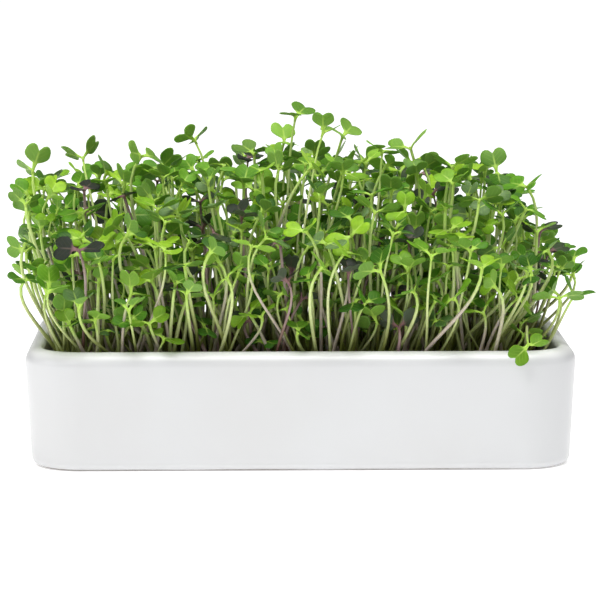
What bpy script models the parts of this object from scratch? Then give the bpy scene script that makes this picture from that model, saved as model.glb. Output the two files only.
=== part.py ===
"""A tray of microgreens: brassica seedlings in a bed of coir, in a rectangular glazed ceramic tray.

Metres, +Z up, with the origin at the centre of the tray's flat base. +X runs along the tray and
-Y is the front. The seedlings stand in tufts of three, whose roots have knitted into one root
ball, and each root ball sits in a plain hole in the growing medium.
"""

import math
import random

import bmesh
import bpy
from mathutils import Vector

MM = 0.001

# Tray: outer sizes at the rim, a wall that leans in towards the base, and rounded edges
TRAY_LENGTH = 232 * MM
TRAY_DEPTH = 138 * MM
TRAY_HEIGHT = 50 * MM
TRAY_CORNER = 24 * MM
WALL = 8 * MM
BASE_THICKNESS = 6 * MM
OUTER_DRAFT = 2.2 * MM
INNER_DRAFT = 1.6 * MM
FOOT_FILLET = 4 * MM
RIM_OUTER_ROUND = 6 * MM
RIM_INNER_ROUND = WALL - RIM_OUTER_ROUND
FLOOR_FILLET = 4 * MM
CORNER_STEPS = 6
ARC_STEPS = 3
# Edges sharper than this stay crisp when the mesh is shaded
CRISP_EDGE = math.radians(35)

# Growing medium: level, relief and the play it keeps to the tray
SOIL_BELOW_RIM = 12 * MM
SOIL_TOP = TRAY_HEIGHT - SOIL_BELOW_RIM
SOIL_PLAY = 0.4 * MM
SOIL_RELIEF = 0.9 * MM
SOIL_CELLS_X = 16
SOIL_CELLS_Y = 9

# Tufts: staggered rows of root balls, three shoots on each
ROW_COUNTS = (10, 9, 10, 9, 10)
ROW_SPACING = 24.5 * MM
TUFT_SPACING = 21.4 * MM
SHOOTS_PER_TUFT = 3
ROOT_RADIUS = 4.6 * MM
ROOT_TAPER = 0.55
ROOT_DEPTH = 10 * MM
ROOT_SINK = 1.2 * MM
ROOT_COLLAR = 3.5 * MM
HOLE_PLAY = 0.4 * MM
HOLE_SIDES = 7
PURPLE_EVERY = 6
PURPLE_FIRST = 4
PURPLE_SIZE = 0.86
PURPLE_HEIGHT = 0.84

# Stems: low part of the curve as shares of the rise, and a sideways bend. The tip nods to one side
# by up to NOD degrees over the last NOD_SHARE of the stem.
STEM_HALF_WIDTH = 0.68 * MM
LOW_LEAN = 0.2
LOW_RISE = 0.36
STEM_BEND = 0.06
NOD = (0, 52)
NOD_SHARE = 0.26

# Seed leaves: two on each stem, on stalks, with a notch between two lobes at the far end. The
# outline's places are shares of the length, and its half widths are shares of the leaf's own.
LEAF_THICKNESS = 0.65 * MM
LEAF_LENGTH = 7.6 * MM
LEAF_HALF_WIDTH = 5.2 * MM
LEAF_SIZES = (0.80, 1.06)
STALK_LENGTHS = (1.0 * MM, 2.6 * MM)
STALK_HALF_WIDTH = 0.55 * MM
SHOULDER_AT = 0.42
LOBE_AT = 0.96
LOBE_HALF = 0.58
NOTCH_AT = 0.76
# How the pair spreads: upwards tilt in degrees, its play and the roll of each leaf, and how far
# the edges curl up and the far end droops
SPREAD = (4, 50)
SPREAD_PLAY = 16
ROLL = 26
CUP = (-0.7 * MM, 1.3 * MM)
DROOP = (0.2 * MM, 1.9 * MM)

# The tall, middle and low shoot of a tuft: height as a share of the skyline, segments of the stem,
# scatter of the head, and size of the leaves
HEIGHT_SHARES = ((0.80, 0.97), (0.56, 0.76), (0.30, 0.50))
STEM_SEGMENTS = (4, 3, 2)
HEAD_SCATTER = (9 * MM, 12 * MM, 15 * MM)
LEAF_SCALES = (1.08, 1.0, 0.86)
# The stand fans out over the tray's edges: shares of the foot's place, for a head this high
FAN_ALONG = 0.17
FAN_ACROSS = 0.3
FAN_HEIGHT = 75 * MM
FRONT_DROP = 0.34
FRONT_ROW = 50 * MM
LOW_REACH = 96 * MM
LOW_HEAD = 22 * MM
# Skyline: how high the heads stand above the medium, from the stand's left end to its right end
SKYLINE = ((-127 * MM, 66 * MM), (-116 * MM, 81 * MM), (-60 * MM, 88 * MM), (0, 95 * MM),
           (50 * MM, 91 * MM), (90 * MM, 79 * MM), (101 * MM, 71 * MM), (108 * MM, 46 * MM),
           (127 * MM, 38 * MM))

# Shoots that stand out of the stand: the head's place along and across the tray, and its height
# above the medium. Each grows from the tuft nearest to LEADER_LEAN of its head's place.
LEADER_LEAN = (0.9, 0.8)
LEADERS = (
    (-115 * MM, -8 * MM, 82 * MM), (-94 * MM, 12 * MM, 86 * MM), (-66 * MM, -12 * MM, 91 * MM),
    (-47 * MM, 16 * MM, 94 * MM), (-20 * MM, 30 * MM, 85 * MM), (-3 * MM, 2 * MM, 105 * MM),
    (8 * MM, -18 * MM, 100 * MM), (18 * MM, 24 * MM, 96 * MM), (35 * MM, -4 * MM, 91 * MM),
    (50 * MM, 20 * MM, 91 * MM), (67 * MM, -10 * MM, 86 * MM), (86 * MM, 14 * MM, 79 * MM),
    (99 * MM, -4 * MM, 75 * MM), (98 * MM, 30 * MM, 61 * MM), (120 * MM, 2 * MM, 40 * MM),
    (115 * MM, -42 * MM, 32 * MM), (-117 * MM, 20 * MM, 64 * MM), (-117 * MM, -30 * MM, 50 * MM),
    (-40 * MM, -74 * MM, 56 * MM), (30 * MM, -73 * MM, 46 * MM), (-84 * MM, 72 * MM, 66 * MM),
    (4 * MM, 74 * MM, 68 * MM), (84 * MM, 71 * MM, 54 * MM),
)

# The stand's outermost leaves: reach along the tray, reach over its sides, and top
STAND_REACH = (127 * MM, 83 * MM, 152 * MM)

# One shoot has flopped over the front rim: where it stands and its head hangs, and how high the
# stem arches
FLOPPED_FOOT = (91 * MM, -TRAY_DEPTH / 2)
FLOPPED_HEAD = Vector((91 * MM, -78 * MM, TRAY_HEIGHT + 4 * MM))
FLOPPED_ARCH = 16 * MM

# Placing: every shoot keeps this far from the others, measured between points on both
SEED = 41
CLEARANCE = 3.1 * MM
STEM_SAMPLE = 2.5 * MM
WALL_CLEARANCE = 2.2 * MM
LEAF_CLEARANCE = 3 * MM
NUDGE = 2 * MM
TRIES = 400
# A leaf's stalk is kept clear at one point, behind the blade
STALK_SAMPLE = -0.25
# Points inside a seed leaf, as shares of its length and half width, for keeping it clear
LEAF_SAMPLES = ((0.1, 0), (0.25, -0.4), (0.25, 0.4), (0.45, -1), (0.45, 1), (0.5, -0.5), (0.5, 0.5),
                (0.4, 0), (0.7, 0), (0.72, -0.85), (0.72, 0.85), (0.75, -0.45), (0.75, 0.45),
                (0.96, -0.58), (0.96, 0.58))


def material(name, colour, roughness):
    made = bpy.data.materials.new(name)
    made.use_nodes = True
    shader = made.node_tree.nodes["Principled BSDF"]
    shader.inputs["Base Color"].default_value = (*colour, 1)
    shader.inputs["Roughness"].default_value = roughness
    shader.inputs["Metallic"].default_value = 0
    return made


def link(name, bm, finish):
    """The finished mesh as one object of the scene."""
    bmesh.ops.recalc_face_normals(bm, faces=bm.faces)
    mesh = bpy.data.meshes.new(name)
    bm.to_mesh(mesh)
    bm.free()
    mesh.shade_smooth()
    mesh.set_sharp_from_angle(angle=CRISP_EDGE)
    mesh.materials.append(finish)
    made = bpy.data.objects.new(name, mesh)
    bpy.context.scene.collection.objects.link(made)
    return made


# Tray


def rounded_rectangle(inset, z):
    """The tray's outline at one level, moved in from the outer rim line by inset."""
    radius = TRAY_CORNER - inset
    reach_x = TRAY_LENGTH / 2 - TRAY_CORNER
    reach_y = TRAY_DEPTH / 2 - TRAY_CORNER
    points = []
    for corner, (side_x, side_y) in enumerate(((1, 1), (-1, 1), (-1, -1), (1, -1))):
        for step in range(CORNER_STEPS + 1):
            angle = math.radians(90) * (corner + step / CORNER_STEPS)
            points.append((side_x * reach_x + radius * math.cos(angle),
                           side_y * reach_y + radius * math.sin(angle), z))
    return points


def arc(centre_inset, centre_z, radius, start, end):
    """Points of the wall's section round one of its edges; angles in degrees, 0 towards the outside."""
    points = []
    for step in range(ARC_STEPS + 1):
        angle = math.radians(start + (end - start) * step / ARC_STEPS)
        points.append((centre_inset - radius * math.cos(angle), centre_z + radius * math.sin(angle)))
    return points


def tray_section():
    """The wall's section as (inset, z), from under the base, over the rim, to the inner floor."""
    rim_z = TRAY_HEIGHT - RIM_OUTER_ROUND
    inner_rim_z = TRAY_HEIGHT - RIM_INNER_ROUND
    foot = arc(OUTER_DRAFT + FOOT_FILLET, FOOT_FILLET, FOOT_FILLET, -90, 0)
    outer_rim = arc(RIM_OUTER_ROUND, rim_z, RIM_OUTER_ROUND, 0, 90)
    inner_rim = arc(WALL - RIM_INNER_ROUND, inner_rim_z, RIM_INNER_ROUND, 90, 180)
    floor = arc(WALL + INNER_DRAFT + FLOOR_FILLET, BASE_THICKNESS + FLOOR_FILLET, FLOOR_FILLET, 0, -90)
    return foot + outer_rim + inner_rim[1:] + floor


def make_tray(finish):
    bm = bmesh.new()
    loops = []
    for inset, z in tray_section():
        loops.append([bm.verts.new(point) for point in rounded_rectangle(inset, z)])
    count = len(loops[0])
    for lower, upper in zip(loops, loops[1:]):
        for i in range(count):
            following = (i + 1) % count
            bm.faces.new((lower[i], lower[following], upper[following], upper[i]))
    bm.faces.new(loops[0])
    bm.faces.new(loops[-1])
    return link("ceramic_tray", bm, finish)


# Growing medium


def inner_inset(z):
    """How far the tray's inner wall stands in from the rim line at height z."""
    depth = (TRAY_HEIGHT - z) / (TRAY_HEIGHT - BASE_THICKNESS)
    return WALL + INNER_DRAFT * max(0, depth)


def soil_height(x, y):
    """The uneven surface of the pressed coir: three waves across it, in radians per metre."""
    waves = (math.sin(x * 190 + 1.3) * math.cos(y * 230 - 0.4)
             + 0.6 * math.sin(x * 410 - y * 350 + 2.1)
             + 0.5 * math.cos(x * 90 + y * 520))
    return SOIL_TOP + SOIL_RELIEF * waves / 2.1


def soil_point(u, v, inset):
    """A point of the bed for u and v from -1 to 1, pulled in at the rounded corners."""
    half_x = TRAY_LENGTH / 2 - inset
    half_y = TRAY_DEPTH / 2 - inset
    radius = TRAY_CORNER - inset
    x, y = u * half_x, v * half_y
    over_x = abs(x) - (half_x - radius)
    over_y = abs(y) - (half_y - radius)
    reach = math.hypot(max(over_x, 0), max(over_y, 0))
    if over_x > 0 and over_y > 0 and reach > radius:
        x = math.copysign(half_x - radius + over_x * radius / reach, x)
        y = math.copysign(half_y - radius + over_y * radius / reach, y)
    return x, y


def rim_of_grid():
    """Grid positions round the bed's edge, in order."""
    along = [(i, 0) for i in range(SOIL_CELLS_X)]
    up = [(SOIL_CELLS_X, j) for j in range(SOIL_CELLS_Y)]
    back = [(SOIL_CELLS_X - i, SOIL_CELLS_Y) for i in range(SOIL_CELLS_X)]
    down = [(0, SOIL_CELLS_Y - j) for j in range(SOIL_CELLS_Y)]
    return along + up + back + down


def make_holes(centres):
    """One plain round hole for each root ball, as a cutter."""
    collection = bpy.data.collections.new("root_holes")
    bpy.context.scene.collection.children.link(collection)
    for index, (x, y) in enumerate(centres):
        floor = soil_height(x, y) - ROOT_SINK - ROOT_DEPTH - HOLE_PLAY
        height = SOIL_TOP + 3 * SOIL_RELIEF - floor
        bm = bmesh.new()
        bmesh.ops.create_cone(bm, cap_ends=True, segments=HOLE_SIDES, depth=height,
                              radius1=ROOT_RADIUS + 2 * HOLE_PLAY, radius2=ROOT_RADIUS + 2 * HOLE_PLAY)
        bmesh.ops.translate(bm, verts=bm.verts, vec=(x, y, floor + height / 2))
        mesh = bpy.data.meshes.new(f"hole_{index + 1:02d}")
        bm.to_mesh(mesh)
        bm.free()
        cutter = bpy.data.objects.new(mesh.name, mesh)
        cutter.hide_render = True
        cutter.display_type = "WIRE"
        collection.objects.link(cutter)
    return collection


def make_soil(finish, centres):
    bm = bmesh.new()
    floor_z = BASE_THICKNESS + SOIL_PLAY
    top_inset = inner_inset(SOIL_TOP) + SOIL_PLAY
    knee_z = BASE_THICKNESS + FLOOR_FILLET
    knee_inset = inner_inset(knee_z) + SOIL_PLAY
    foot_inset = knee_inset + FLOOR_FILLET
    top = {}
    for i in range(SOIL_CELLS_X + 1):
        for j in range(SOIL_CELLS_Y + 1):
            x, y = soil_point(2 * i / SOIL_CELLS_X - 1, 2 * j / SOIL_CELLS_Y - 1, top_inset)
            top[i, j] = bm.verts.new((x, y, soil_height(x, y)))
    for i in range(SOIL_CELLS_X):
        for j in range(SOIL_CELLS_Y):
            a, b, c, d = top[i, j], top[i + 1, j], top[i + 1, j + 1], top[i, j + 1]
            bm.faces.new((a, b, c))
            bm.faces.new((a, c, d))
    loops = [[top[cell] for cell in rim_of_grid()]]
    for inset, z in ((knee_inset, knee_z), (foot_inset, floor_z)):
        loop = []
        for i, j in rim_of_grid():
            x, y = soil_point(2 * i / SOIL_CELLS_X - 1, 2 * j / SOIL_CELLS_Y - 1, inset)
            loop.append(bm.verts.new((x, y, z)))
        loops.append(loop)
    count = len(loops[0])
    for upper, lower in zip(loops, loops[1:]):
        for i in range(count):
            following = (i + 1) % count
            bm.faces.new((upper[following], upper[i], lower[i], lower[following]))
    bm.faces.new(loops[-1])
    soil = link("growing_medium", bm, finish)
    holes = soil.modifiers.new("root_holes", "BOOLEAN")
    holes.operation = "DIFFERENCE"
    holes.operand_type = "COLLECTION"
    holes.collection = make_holes(centres)


# Shoots


def bezier(points, t):
    a, b, c, d = points
    s = 1 - t
    return a * s ** 3 + b * (3 * s * s * t) + c * (3 * s * t * t) + d * t ** 3


def bezier_tangent(points, t):
    a, b, c, d = points
    s = 1 - t
    return ((b - a) * (s * s) + (c - b) * (2 * s * t) + (d - c) * (t * t)).normalized()


class Shoot:
    """One seedling: a stem along a curve and two seed leaves on opposite sides of its tip."""

    def __init__(self, draw, foot, head, scale, arch=None):
        rise = head - foot
        bend = Vector((draw.uniform(-1, 1), draw.uniform(-1, 1), 0)) * rise.length * STEM_BEND
        low = foot + Vector((rise.x * LOW_LEAN, rise.y * LOW_LEAN, rise.z * LOW_RISE)) + bend
        nod = math.radians(draw.uniform(*NOD))
        facing = draw.uniform(0, math.tau)
        aslant = math.sin(nod)
        tip_way = Vector((aslant * math.cos(facing), aslant * math.sin(facing), math.cos(nod)))
        high = head - tip_way * (rise.length * NOD_SHARE)
        if arch is not None:
            low = foot + Vector((0, 0, rise.z + arch))
            high = head + Vector((0, -rise.y * LOW_RISE, arch * NOD_SHARE))
        self.path = (foot, low, high, head)
        self.up = bezier_tangent(self.path, 1)
        turn = draw.uniform(0, math.tau)
        across = Vector((math.cos(turn), math.sin(turn), 0)) if arch is None else Vector((1, 0, 0.8))
        self.across = (across - self.up * across.dot(self.up)).normalized()
        self.aside = self.up.cross(self.across)
        self.stalk = draw.uniform(*STALK_LENGTHS) * scale
        self.leaves = []
        spread = draw.uniform(*SPREAD)
        for way in (1, -1):
            size = draw.uniform(*LEAF_SIZES) * scale
            self.leaves.append({
                "way": way,
                "pitch": math.radians(spread + draw.uniform(-SPREAD_PLAY, SPREAD_PLAY)),
                "roll": math.radians(draw.uniform(-ROLL, ROLL)),
                "length": LEAF_LENGTH * size,
                "half_width": LEAF_HALF_WIDTH * size,
                "cup": draw.uniform(*CUP),
                "droop": draw.uniform(*DROOP),
            })

    def ring(self, at):
        """Four corners round the stem, turning from across towards aside."""
        along = bezier_tangent(self.path, at)
        across = (self.across - along * self.across.dot(along)).normalized()
        aside = along.cross(across)
        centre = bezier(self.path, at)
        return [centre + (across * a + aside * b) * STEM_HALF_WIDTH
                for a, b in ((1, 1), (-1, 1), (-1, -1), (1, -1))]

    def leaf_frame(self, leaf):
        """Leaf directions: out along it, over its width, and its face."""
        out = self.across * (leaf["way"] * math.cos(leaf["pitch"])) + self.up * math.sin(leaf["pitch"])
        flat = self.aside * leaf["way"]
        face = out.cross(flat)
        over = flat * math.cos(leaf["roll"]) + face * math.sin(leaf["roll"])
        return out, over, out.cross(over)

    def leaf_point(self, leaf, share, side):
        """A point on the leaf's upper face: share of its length, and side from -1 to 1 of its width."""
        out, over, face = self.leaf_frame(leaf)
        root = self.path[3] + self.across * (STEM_HALF_WIDTH * leaf["way"]) + self.up * LEAF_THICKNESS
        lift = leaf["cup"] * side * side - leaf["droop"] * share * share
        return (root + out * (self.stalk + leaf["length"] * share)
                + over * (leaf["half_width"] * side) + face * lift)

    def samples(self):
        """Points spread over the whole shoot, for keeping it clear of others."""
        length = (self.path[3] - self.path[0]).length
        count = max(4, round(length / STEM_SAMPLE))
        points = [bezier(self.path, i / count) for i in range(count + 1)]
        for leaf in self.leaves:
            points += self.leaf_samples(leaf)
        return points

    def leaf_samples(self, leaf):
        stalk = self.leaf_point(leaf, STALK_SAMPLE, 0)
        return [stalk] + [self.leaf_point(leaf, share, side) for share, side in LEAF_SAMPLES]


class Room:
    """The space that shoots have taken, as points kept by the cell they lie in."""

    def __init__(self, reach):
        self.reach = reach
        self.cells = {}

    def cell(self, point):
        return tuple(math.floor(value / self.reach) for value in point)

    def add(self, points):
        for point in points:
            self.cells.setdefault(self.cell(point), []).append(point)

    def is_clear(self, points):
        near = (-1, 0, 1)
        for point in points:
            i, j, k = self.cell(point)
            for cell in ((i + a, j + b, k + c) for a in near for b in near for c in near):
                for other in self.cells.get(cell, ()):
                    if (other - point).length < self.reach:
                        return False
        return True


def clears_tray(points):
    """No point is in the wall, against it or just over the rim."""
    half_x, half_y = TRAY_LENGTH / 2, TRAY_DEPTH / 2
    for point in points:
        if point.z > TRAY_HEIGHT + WALL_CLEARANCE:
            continue
        inner = inner_inset(point.z) + WALL_CLEARANCE
        over_x, over_y = abs(point.x) - (half_x - TRAY_CORNER), abs(point.y) - (half_y - TRAY_CORNER)
        if over_x > 0 and over_y > 0:
            out_by = math.hypot(over_x, over_y) - TRAY_CORNER
        else:
            out_by = max(abs(point.x) - half_x, abs(point.y) - half_y)
        if -inner < out_by < WALL_CLEARANCE:
            return False
    return True


def in_reach(points):
    """Every point is within the stand's outermost leaves."""
    return all(abs(point[axis]) < STAND_REACH[axis] for point in points for axis in range(3))


def clears_soil(shoot):
    for leaf in shoot.leaves:
        for point in shoot.leaf_samples(leaf):
            in_tray = abs(point.x) < TRAY_LENGTH / 2 and abs(point.y) < TRAY_DEPTH / 2
            if in_tray and point.z < soil_height(point.x, point.y) + LEAF_CLEARANCE:
                return False
    return True


def tuft_centres():
    """Staggered rows across the bed, back row last."""
    centres = []
    for row, count in enumerate(ROW_COUNTS):
        y = (row - (len(ROW_COUNTS) - 1) / 2) * ROW_SPACING
        for i in range(count):
            centres.append(((i - (count - 1) / 2) * TUFT_SPACING, y))
    return centres


def skyline(x):
    """Height of the stand above the medium at x."""
    if x <= SKYLINE[0][0]:
        return SKYLINE[0][1]
    for (x0, z0), (x1, z1) in zip(SKYLINE, SKYLINE[1:]):
        if x < x1:
            return z0 + (z1 - z0) * (x - x0) / (x1 - x0)
    return SKYLINE[-1][1]


def is_purple(index):
    """Whether a tuft is of the darker variety."""
    return index % PURPLE_EVERY == PURPLE_FIRST


def leaders_by_tuft(centres):
    """Each leader's head goes to the nearest green tuft that has none yet, leaning out a little."""
    chosen = {}
    for x, y, height in LEADERS:
        free = [i for i in range(len(centres)) if i not in chosen and not is_purple(i)]
        under = (x * LEADER_LEAN[0], y * LEADER_LEAN[1])
        nearest = min(free, key=lambda i: math.dist(centres[i], under))
        chosen[nearest] = Vector((x, y, SOIL_TOP + height))
    return chosen


def root_corners(centre, turn):
    """The middle and the six corners of a root ball's top."""
    x, y = centre
    z = soil_height(x, y) - ROOT_SINK
    corners = [Vector((x + ROOT_RADIUS * math.cos(turn + math.tau * i / 6),
                       y + ROOT_RADIUS * math.sin(turn + math.tau * i / 6), z)) for i in range(6)]
    return Vector((x, y, z)), corners


def root_sector(centre, turn, index):
    """The diamond of the root ball's top that one shoot grows from."""
    middle, corners = root_corners(centre, turn)
    return [middle, corners[2 * index], corners[2 * index + 1], corners[(2 * index + 2) % 6]]


def stand_height(foot):
    """Height of the stand above the medium over a foot. It drops towards the front."""
    return skyline(foot.x) * (1 - FRONT_DROP * max(0, -foot.y / FRONT_ROW))


def held_in(x, height):
    """A head's x, kept inside the tray's ends while the head is low."""
    reach = LOW_REACH + max(0, height - LOW_HEAD)
    return max(-reach, min(reach, x))


def draw_head(draw, foot, rank, looseness, purple):
    """Where a shoot's head comes to: out from its foot towards the tray's edge, and scattered."""
    low, high = HEIGHT_SHARES[rank]
    height = stand_height(foot) * draw.uniform(low, high) * (PURPLE_HEIGHT if purple else 1)
    scatter = HEAD_SCATTER[rank] * looseness
    fan = height / FAN_HEIGHT
    x = foot.x * (1 + FAN_ALONG * fan) + draw.uniform(-scatter, scatter)
    y = foot.y * (1 + FAN_ACROSS * fan) + draw.uniform(-scatter, scatter)
    return Vector((held_in(x, height), y, SOIL_TOP + min(height, skyline(x))))


def nudged(draw, place, by):
    return place + Vector([draw.uniform(-by, by) for _ in range(3)])


def place_shoots():
    """Each tuft as its centre, turn and shoots. The tall shoots are placed first."""
    draw = random.Random(SEED)
    centres = tuft_centres()
    leaders = leaders_by_tuft(centres)
    flopped = min(range(len(centres)), key=lambda i: math.dist(centres[i], FLOPPED_FOOT))
    tufts = [{"centre": centre, "turn": draw.uniform(0, math.tau), "shoots": []} for centre in centres]
    room = Room(CLEARANCE)
    for rank in range(SHOOTS_PER_TUFT):
        for index, tuft in enumerate(tufts):
            foot = sum(root_sector(tuft["centre"], tuft["turn"], rank), Vector()) / 4
            leads = rank == 0 and index in leaders
            hangs = rank == SHOOTS_PER_TUFT - 1 and index == flopped
            scale = LEAF_SCALES[rank] * (PURPLE_SIZE if is_purple(index) else 1)
            for attempt in range(TRIES):
                looseness = 1 + 2 * attempt / TRIES
                if leads:
                    head = nudged(draw, leaders[index], NUDGE * looseness)
                elif hangs:
                    head = nudged(draw, FLOPPED_HEAD, NUDGE * looseness)
                else:
                    head = draw_head(draw, foot, rank, looseness, is_purple(index))
                shoot = Shoot(draw, foot, head, scale, FLOPPED_ARCH if hangs else None)
                points = shoot.samples()
                fits = in_reach(points) and clears_tray(points) and clears_soil(shoot)
                if fits and room.is_clear(points):
                    room.add(points)
                    shoot.sector = rank
                    tuft["shoots"].append(shoot)
                    break
    return tufts


def least_turn(ring, corners):
    """How many corners to turn the ring by, so that it lies nearest the face it grows out of."""
    def travel(turn):
        return sum((ring[(i + turn) % 4] - corner).length for i, corner in enumerate(corners))
    return min(range(4), key=travel)


def skin_between(bm, lower, upper):
    for i in range(4):
        following = (i + 1) % 4
        bm.faces.new((lower[i], lower[following], upper[following], upper[i]))


def grow_stem(bm, shoot, sector):
    """Skins the stem from its diamond of the root ball to its tip, and returns the tip's corners."""
    collar = ROOT_COLLAR / (shoot.path[3] - shoot.path[0]).length
    turn = least_turn(shoot.ring(collar), [vert.co for vert in sector])
    segments = STEM_SEGMENTS[shoot.sector]
    below = sector
    for step in range(segments + 1):
        ring = shoot.ring(collar + (1 - collar) * step / segments)
        verts = [bm.verts.new(ring[(i + turn) % 4]) for i in range(4)]
        skin_between(bm, below, verts)
        below = verts
    # Back in the ring's own order, so that the leaves know which corners are theirs
    return [below[(i - turn) % 4] for i in range(4)]


def grow_leaves(bm, shoot, tip):
    """The pair of seed leaves: a blade on a short stalk on each side of the stem's tip."""
    cap = [bm.verts.new(vert.co + shoot.up * LEAF_THICKNESS) for vert in tip]
    bm.faces.new(cap)
    # Corners 0 and 3 are on the side of the first leaf, and 1 and 2 on the side of the second
    for first, second in ((0, 1), (2, 3)):
        bm.faces.new((tip[first], tip[second], cap[second], cap[first]))
    for leaf, (left, right) in zip(shoot.leaves, ((0, 3), (2, 1))):
        grow_blade(bm, shoot, leaf, (tip[left], tip[right]), (cap[left], cap[right]))


def grow_blade(bm, shoot, leaf, under, over):
    """One leaf, both faces split into the same triangles, joined to the stem by its stalk."""
    narrow = STALK_HALF_WIDTH / leaf["half_width"]
    outline = ((0, narrow), (SHOULDER_AT, 1), (LOBE_AT, LOBE_HALF), (NOTCH_AT, 0),
               (LOBE_AT, -LOBE_HALF), (SHOULDER_AT, -1), (0, -narrow))
    face = shoot.leaf_frame(leaf)[2]
    tops = [bm.verts.new(shoot.leaf_point(leaf, share, side)) for share, side in outline]
    bottoms = [bm.verts.new(vert.co - face * LEAF_THICKNESS) for vert in tops]
    for verts in (tops, bottoms):
        for a, b, c in ((0, 1, 3), (1, 2, 3), (0, 3, 6), (6, 3, 5), (3, 4, 5)):
            bm.faces.new((verts[a], verts[b], verts[c]))
    for i in range(len(outline) - 1):
        bm.faces.new((tops[i], tops[i + 1], bottoms[i + 1], bottoms[i]))
    stalk = ((over[0], over[1], tops[6], tops[0]), (under[0], under[1], bottoms[6], bottoms[0]),
             (over[0], under[0], bottoms[0], tops[0]), (over[1], under[1], bottoms[6], tops[6]))
    for a, b, c, d in stalk:
        bm.faces.new((a, b, c))
        bm.faces.new((a, c, d))


def make_tuft(name, tuft, finish):
    """A root ball with its shoots growing out of its top, as one body."""
    bm = bmesh.new()
    middle_point, corner_points = root_corners(tuft["centre"], tuft["turn"])
    middle = bm.verts.new(middle_point)
    corners = [bm.verts.new(point) for point in corner_points]
    sunk = Vector((0, 0, -ROOT_DEPTH))
    ends = [bm.verts.new(middle_point + (point - middle_point) * ROOT_TAPER + sunk)
            for point in corner_points]
    bm.faces.new(ends)
    for i in range(6):
        following = (i + 1) % 6
        bm.faces.new((corners[i], corners[following], ends[following], ends[i]))
    growing = {shoot.sector: shoot for shoot in tuft["shoots"]}
    for index in range(SHOOTS_PER_TUFT):
        sector = [middle, corners[2 * index], corners[2 * index + 1], corners[(2 * index + 2) % 6]]
        if index in growing:
            grow_leaves(bm, growing[index], grow_stem(bm, growing[index], sector))
        else:
            bm.faces.new(sector)
    return link(name, bm, finish)


def build():
    for old in list(bpy.data.objects):
        bpy.data.objects.remove(old)
    glaze = material("white_glaze", (0.87, 0.87, 0.87), 0.18)
    coir = material("coir", (0.075, 0.045, 0.028), 0.95)
    green = material("green_shoots", (0.2, 0.42, 0.06), 0.5)
    purple = material("purple_shoots", (0.11, 0.1, 0.1), 0.5)
    make_tray(glaze)
    tufts = place_shoots()
    make_soil(coir, [tuft["centre"] for tuft in tufts])
    counts = {"green_shoots": 0, "purple_shoots": 0}
    for index, tuft in enumerate(tufts):
        kind, finish = ("purple_shoots", purple) if is_purple(index) else ("green_shoots", green)
        counts[kind] += 1
        make_tuft(f"{kind}_{counts[kind]:02d}", tuft, finish)


build()
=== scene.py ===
"""Microgreens tray: brassica seedlings in a bed of coir, in a rectangular glazed ceramic tray.

Metres, +Z up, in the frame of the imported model: the origin is at the centre of the tray's flat
base, +X runs along the tray and -Y is the front. Each piece has its own section, in the order
in which the real thing is put together: tray, growing medium, seedlings, then the set.
"""

import math
import random

import bpy
import numpy as np
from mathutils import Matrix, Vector, noise


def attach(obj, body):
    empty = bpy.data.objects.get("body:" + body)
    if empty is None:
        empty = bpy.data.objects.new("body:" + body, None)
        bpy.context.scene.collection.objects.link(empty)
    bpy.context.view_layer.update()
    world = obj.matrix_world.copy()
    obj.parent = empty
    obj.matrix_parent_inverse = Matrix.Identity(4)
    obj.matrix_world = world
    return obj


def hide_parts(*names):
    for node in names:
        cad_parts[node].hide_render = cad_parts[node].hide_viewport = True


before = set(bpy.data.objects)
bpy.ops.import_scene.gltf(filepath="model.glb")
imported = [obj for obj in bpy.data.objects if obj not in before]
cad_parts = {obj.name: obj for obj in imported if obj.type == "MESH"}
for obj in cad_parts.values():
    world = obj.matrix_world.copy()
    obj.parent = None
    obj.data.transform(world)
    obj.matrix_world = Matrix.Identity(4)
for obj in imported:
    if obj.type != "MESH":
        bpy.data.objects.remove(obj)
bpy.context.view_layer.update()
MM = 0.001


# Ceramic tray
# One piece of white earthenware, slip-cast in a plaster mould: walls that lean out a little, large
# round corners and a soft rolled rim. It is glazed all over except the flat underside, which was
# wiped clean before firing, and it stands on that.

TRAY_LENGTH = 232 * MM
TRAY_DEPTH = 138 * MM
TRAY_HEIGHT = 50 * MM
TRAY_CORNER = 24 * MM
WALL = 8 * MM
BASE_THICKNESS = 6 * MM
OUTER_DRAFT = 2.2 * MM
INNER_DRAFT = 1.6 * MM
FOOT_FILLET = 4 * MM
RIM_OUTER_ROUND = 6 * MM
RIM_INNER_ROUND = WALL - RIM_OUTER_ROUND
FLOOR_FILLET = 4 * MM
CORNER_STEPS = 20
SIDE_STEPS = 26
ARC_STEPS = 12
WALL_STEPS = 6
# Fired clay is never quite straight: the walls wander by this much, in slow waves
KILN_WARP = 0.25 * MM
WARP_PEAK = 1.5  # the most that a direction's two waves add up to


def rounded_rectangle(inset, z):
    """The tray's outline at one level, moved in from the outer rim line by inset."""
    radius = TRAY_CORNER - inset
    reach_x = TRAY_LENGTH / 2 - TRAY_CORNER
    reach_y = TRAY_DEPTH / 2 - TRAY_CORNER
    corners = []
    for corner, (side_x, side_y) in enumerate(((1, 1), (-1, 1), (-1, -1), (1, -1))):
        turn = []
        for step in range(CORNER_STEPS + 1):
            angle = math.radians(90) * (corner + step / CORNER_STEPS)
            turn.append(Vector((side_x * reach_x + radius * math.cos(angle),
                                side_y * reach_y + radius * math.sin(angle), z)))
        corners.append(turn)
    points = []
    for turn, following in zip(corners, corners[1:] + corners[:1]):
        points += turn
        points += [turn[-1].lerp(following[0], step / SIDE_STEPS) for step in range(1, SIDE_STEPS)]
    return points


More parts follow.
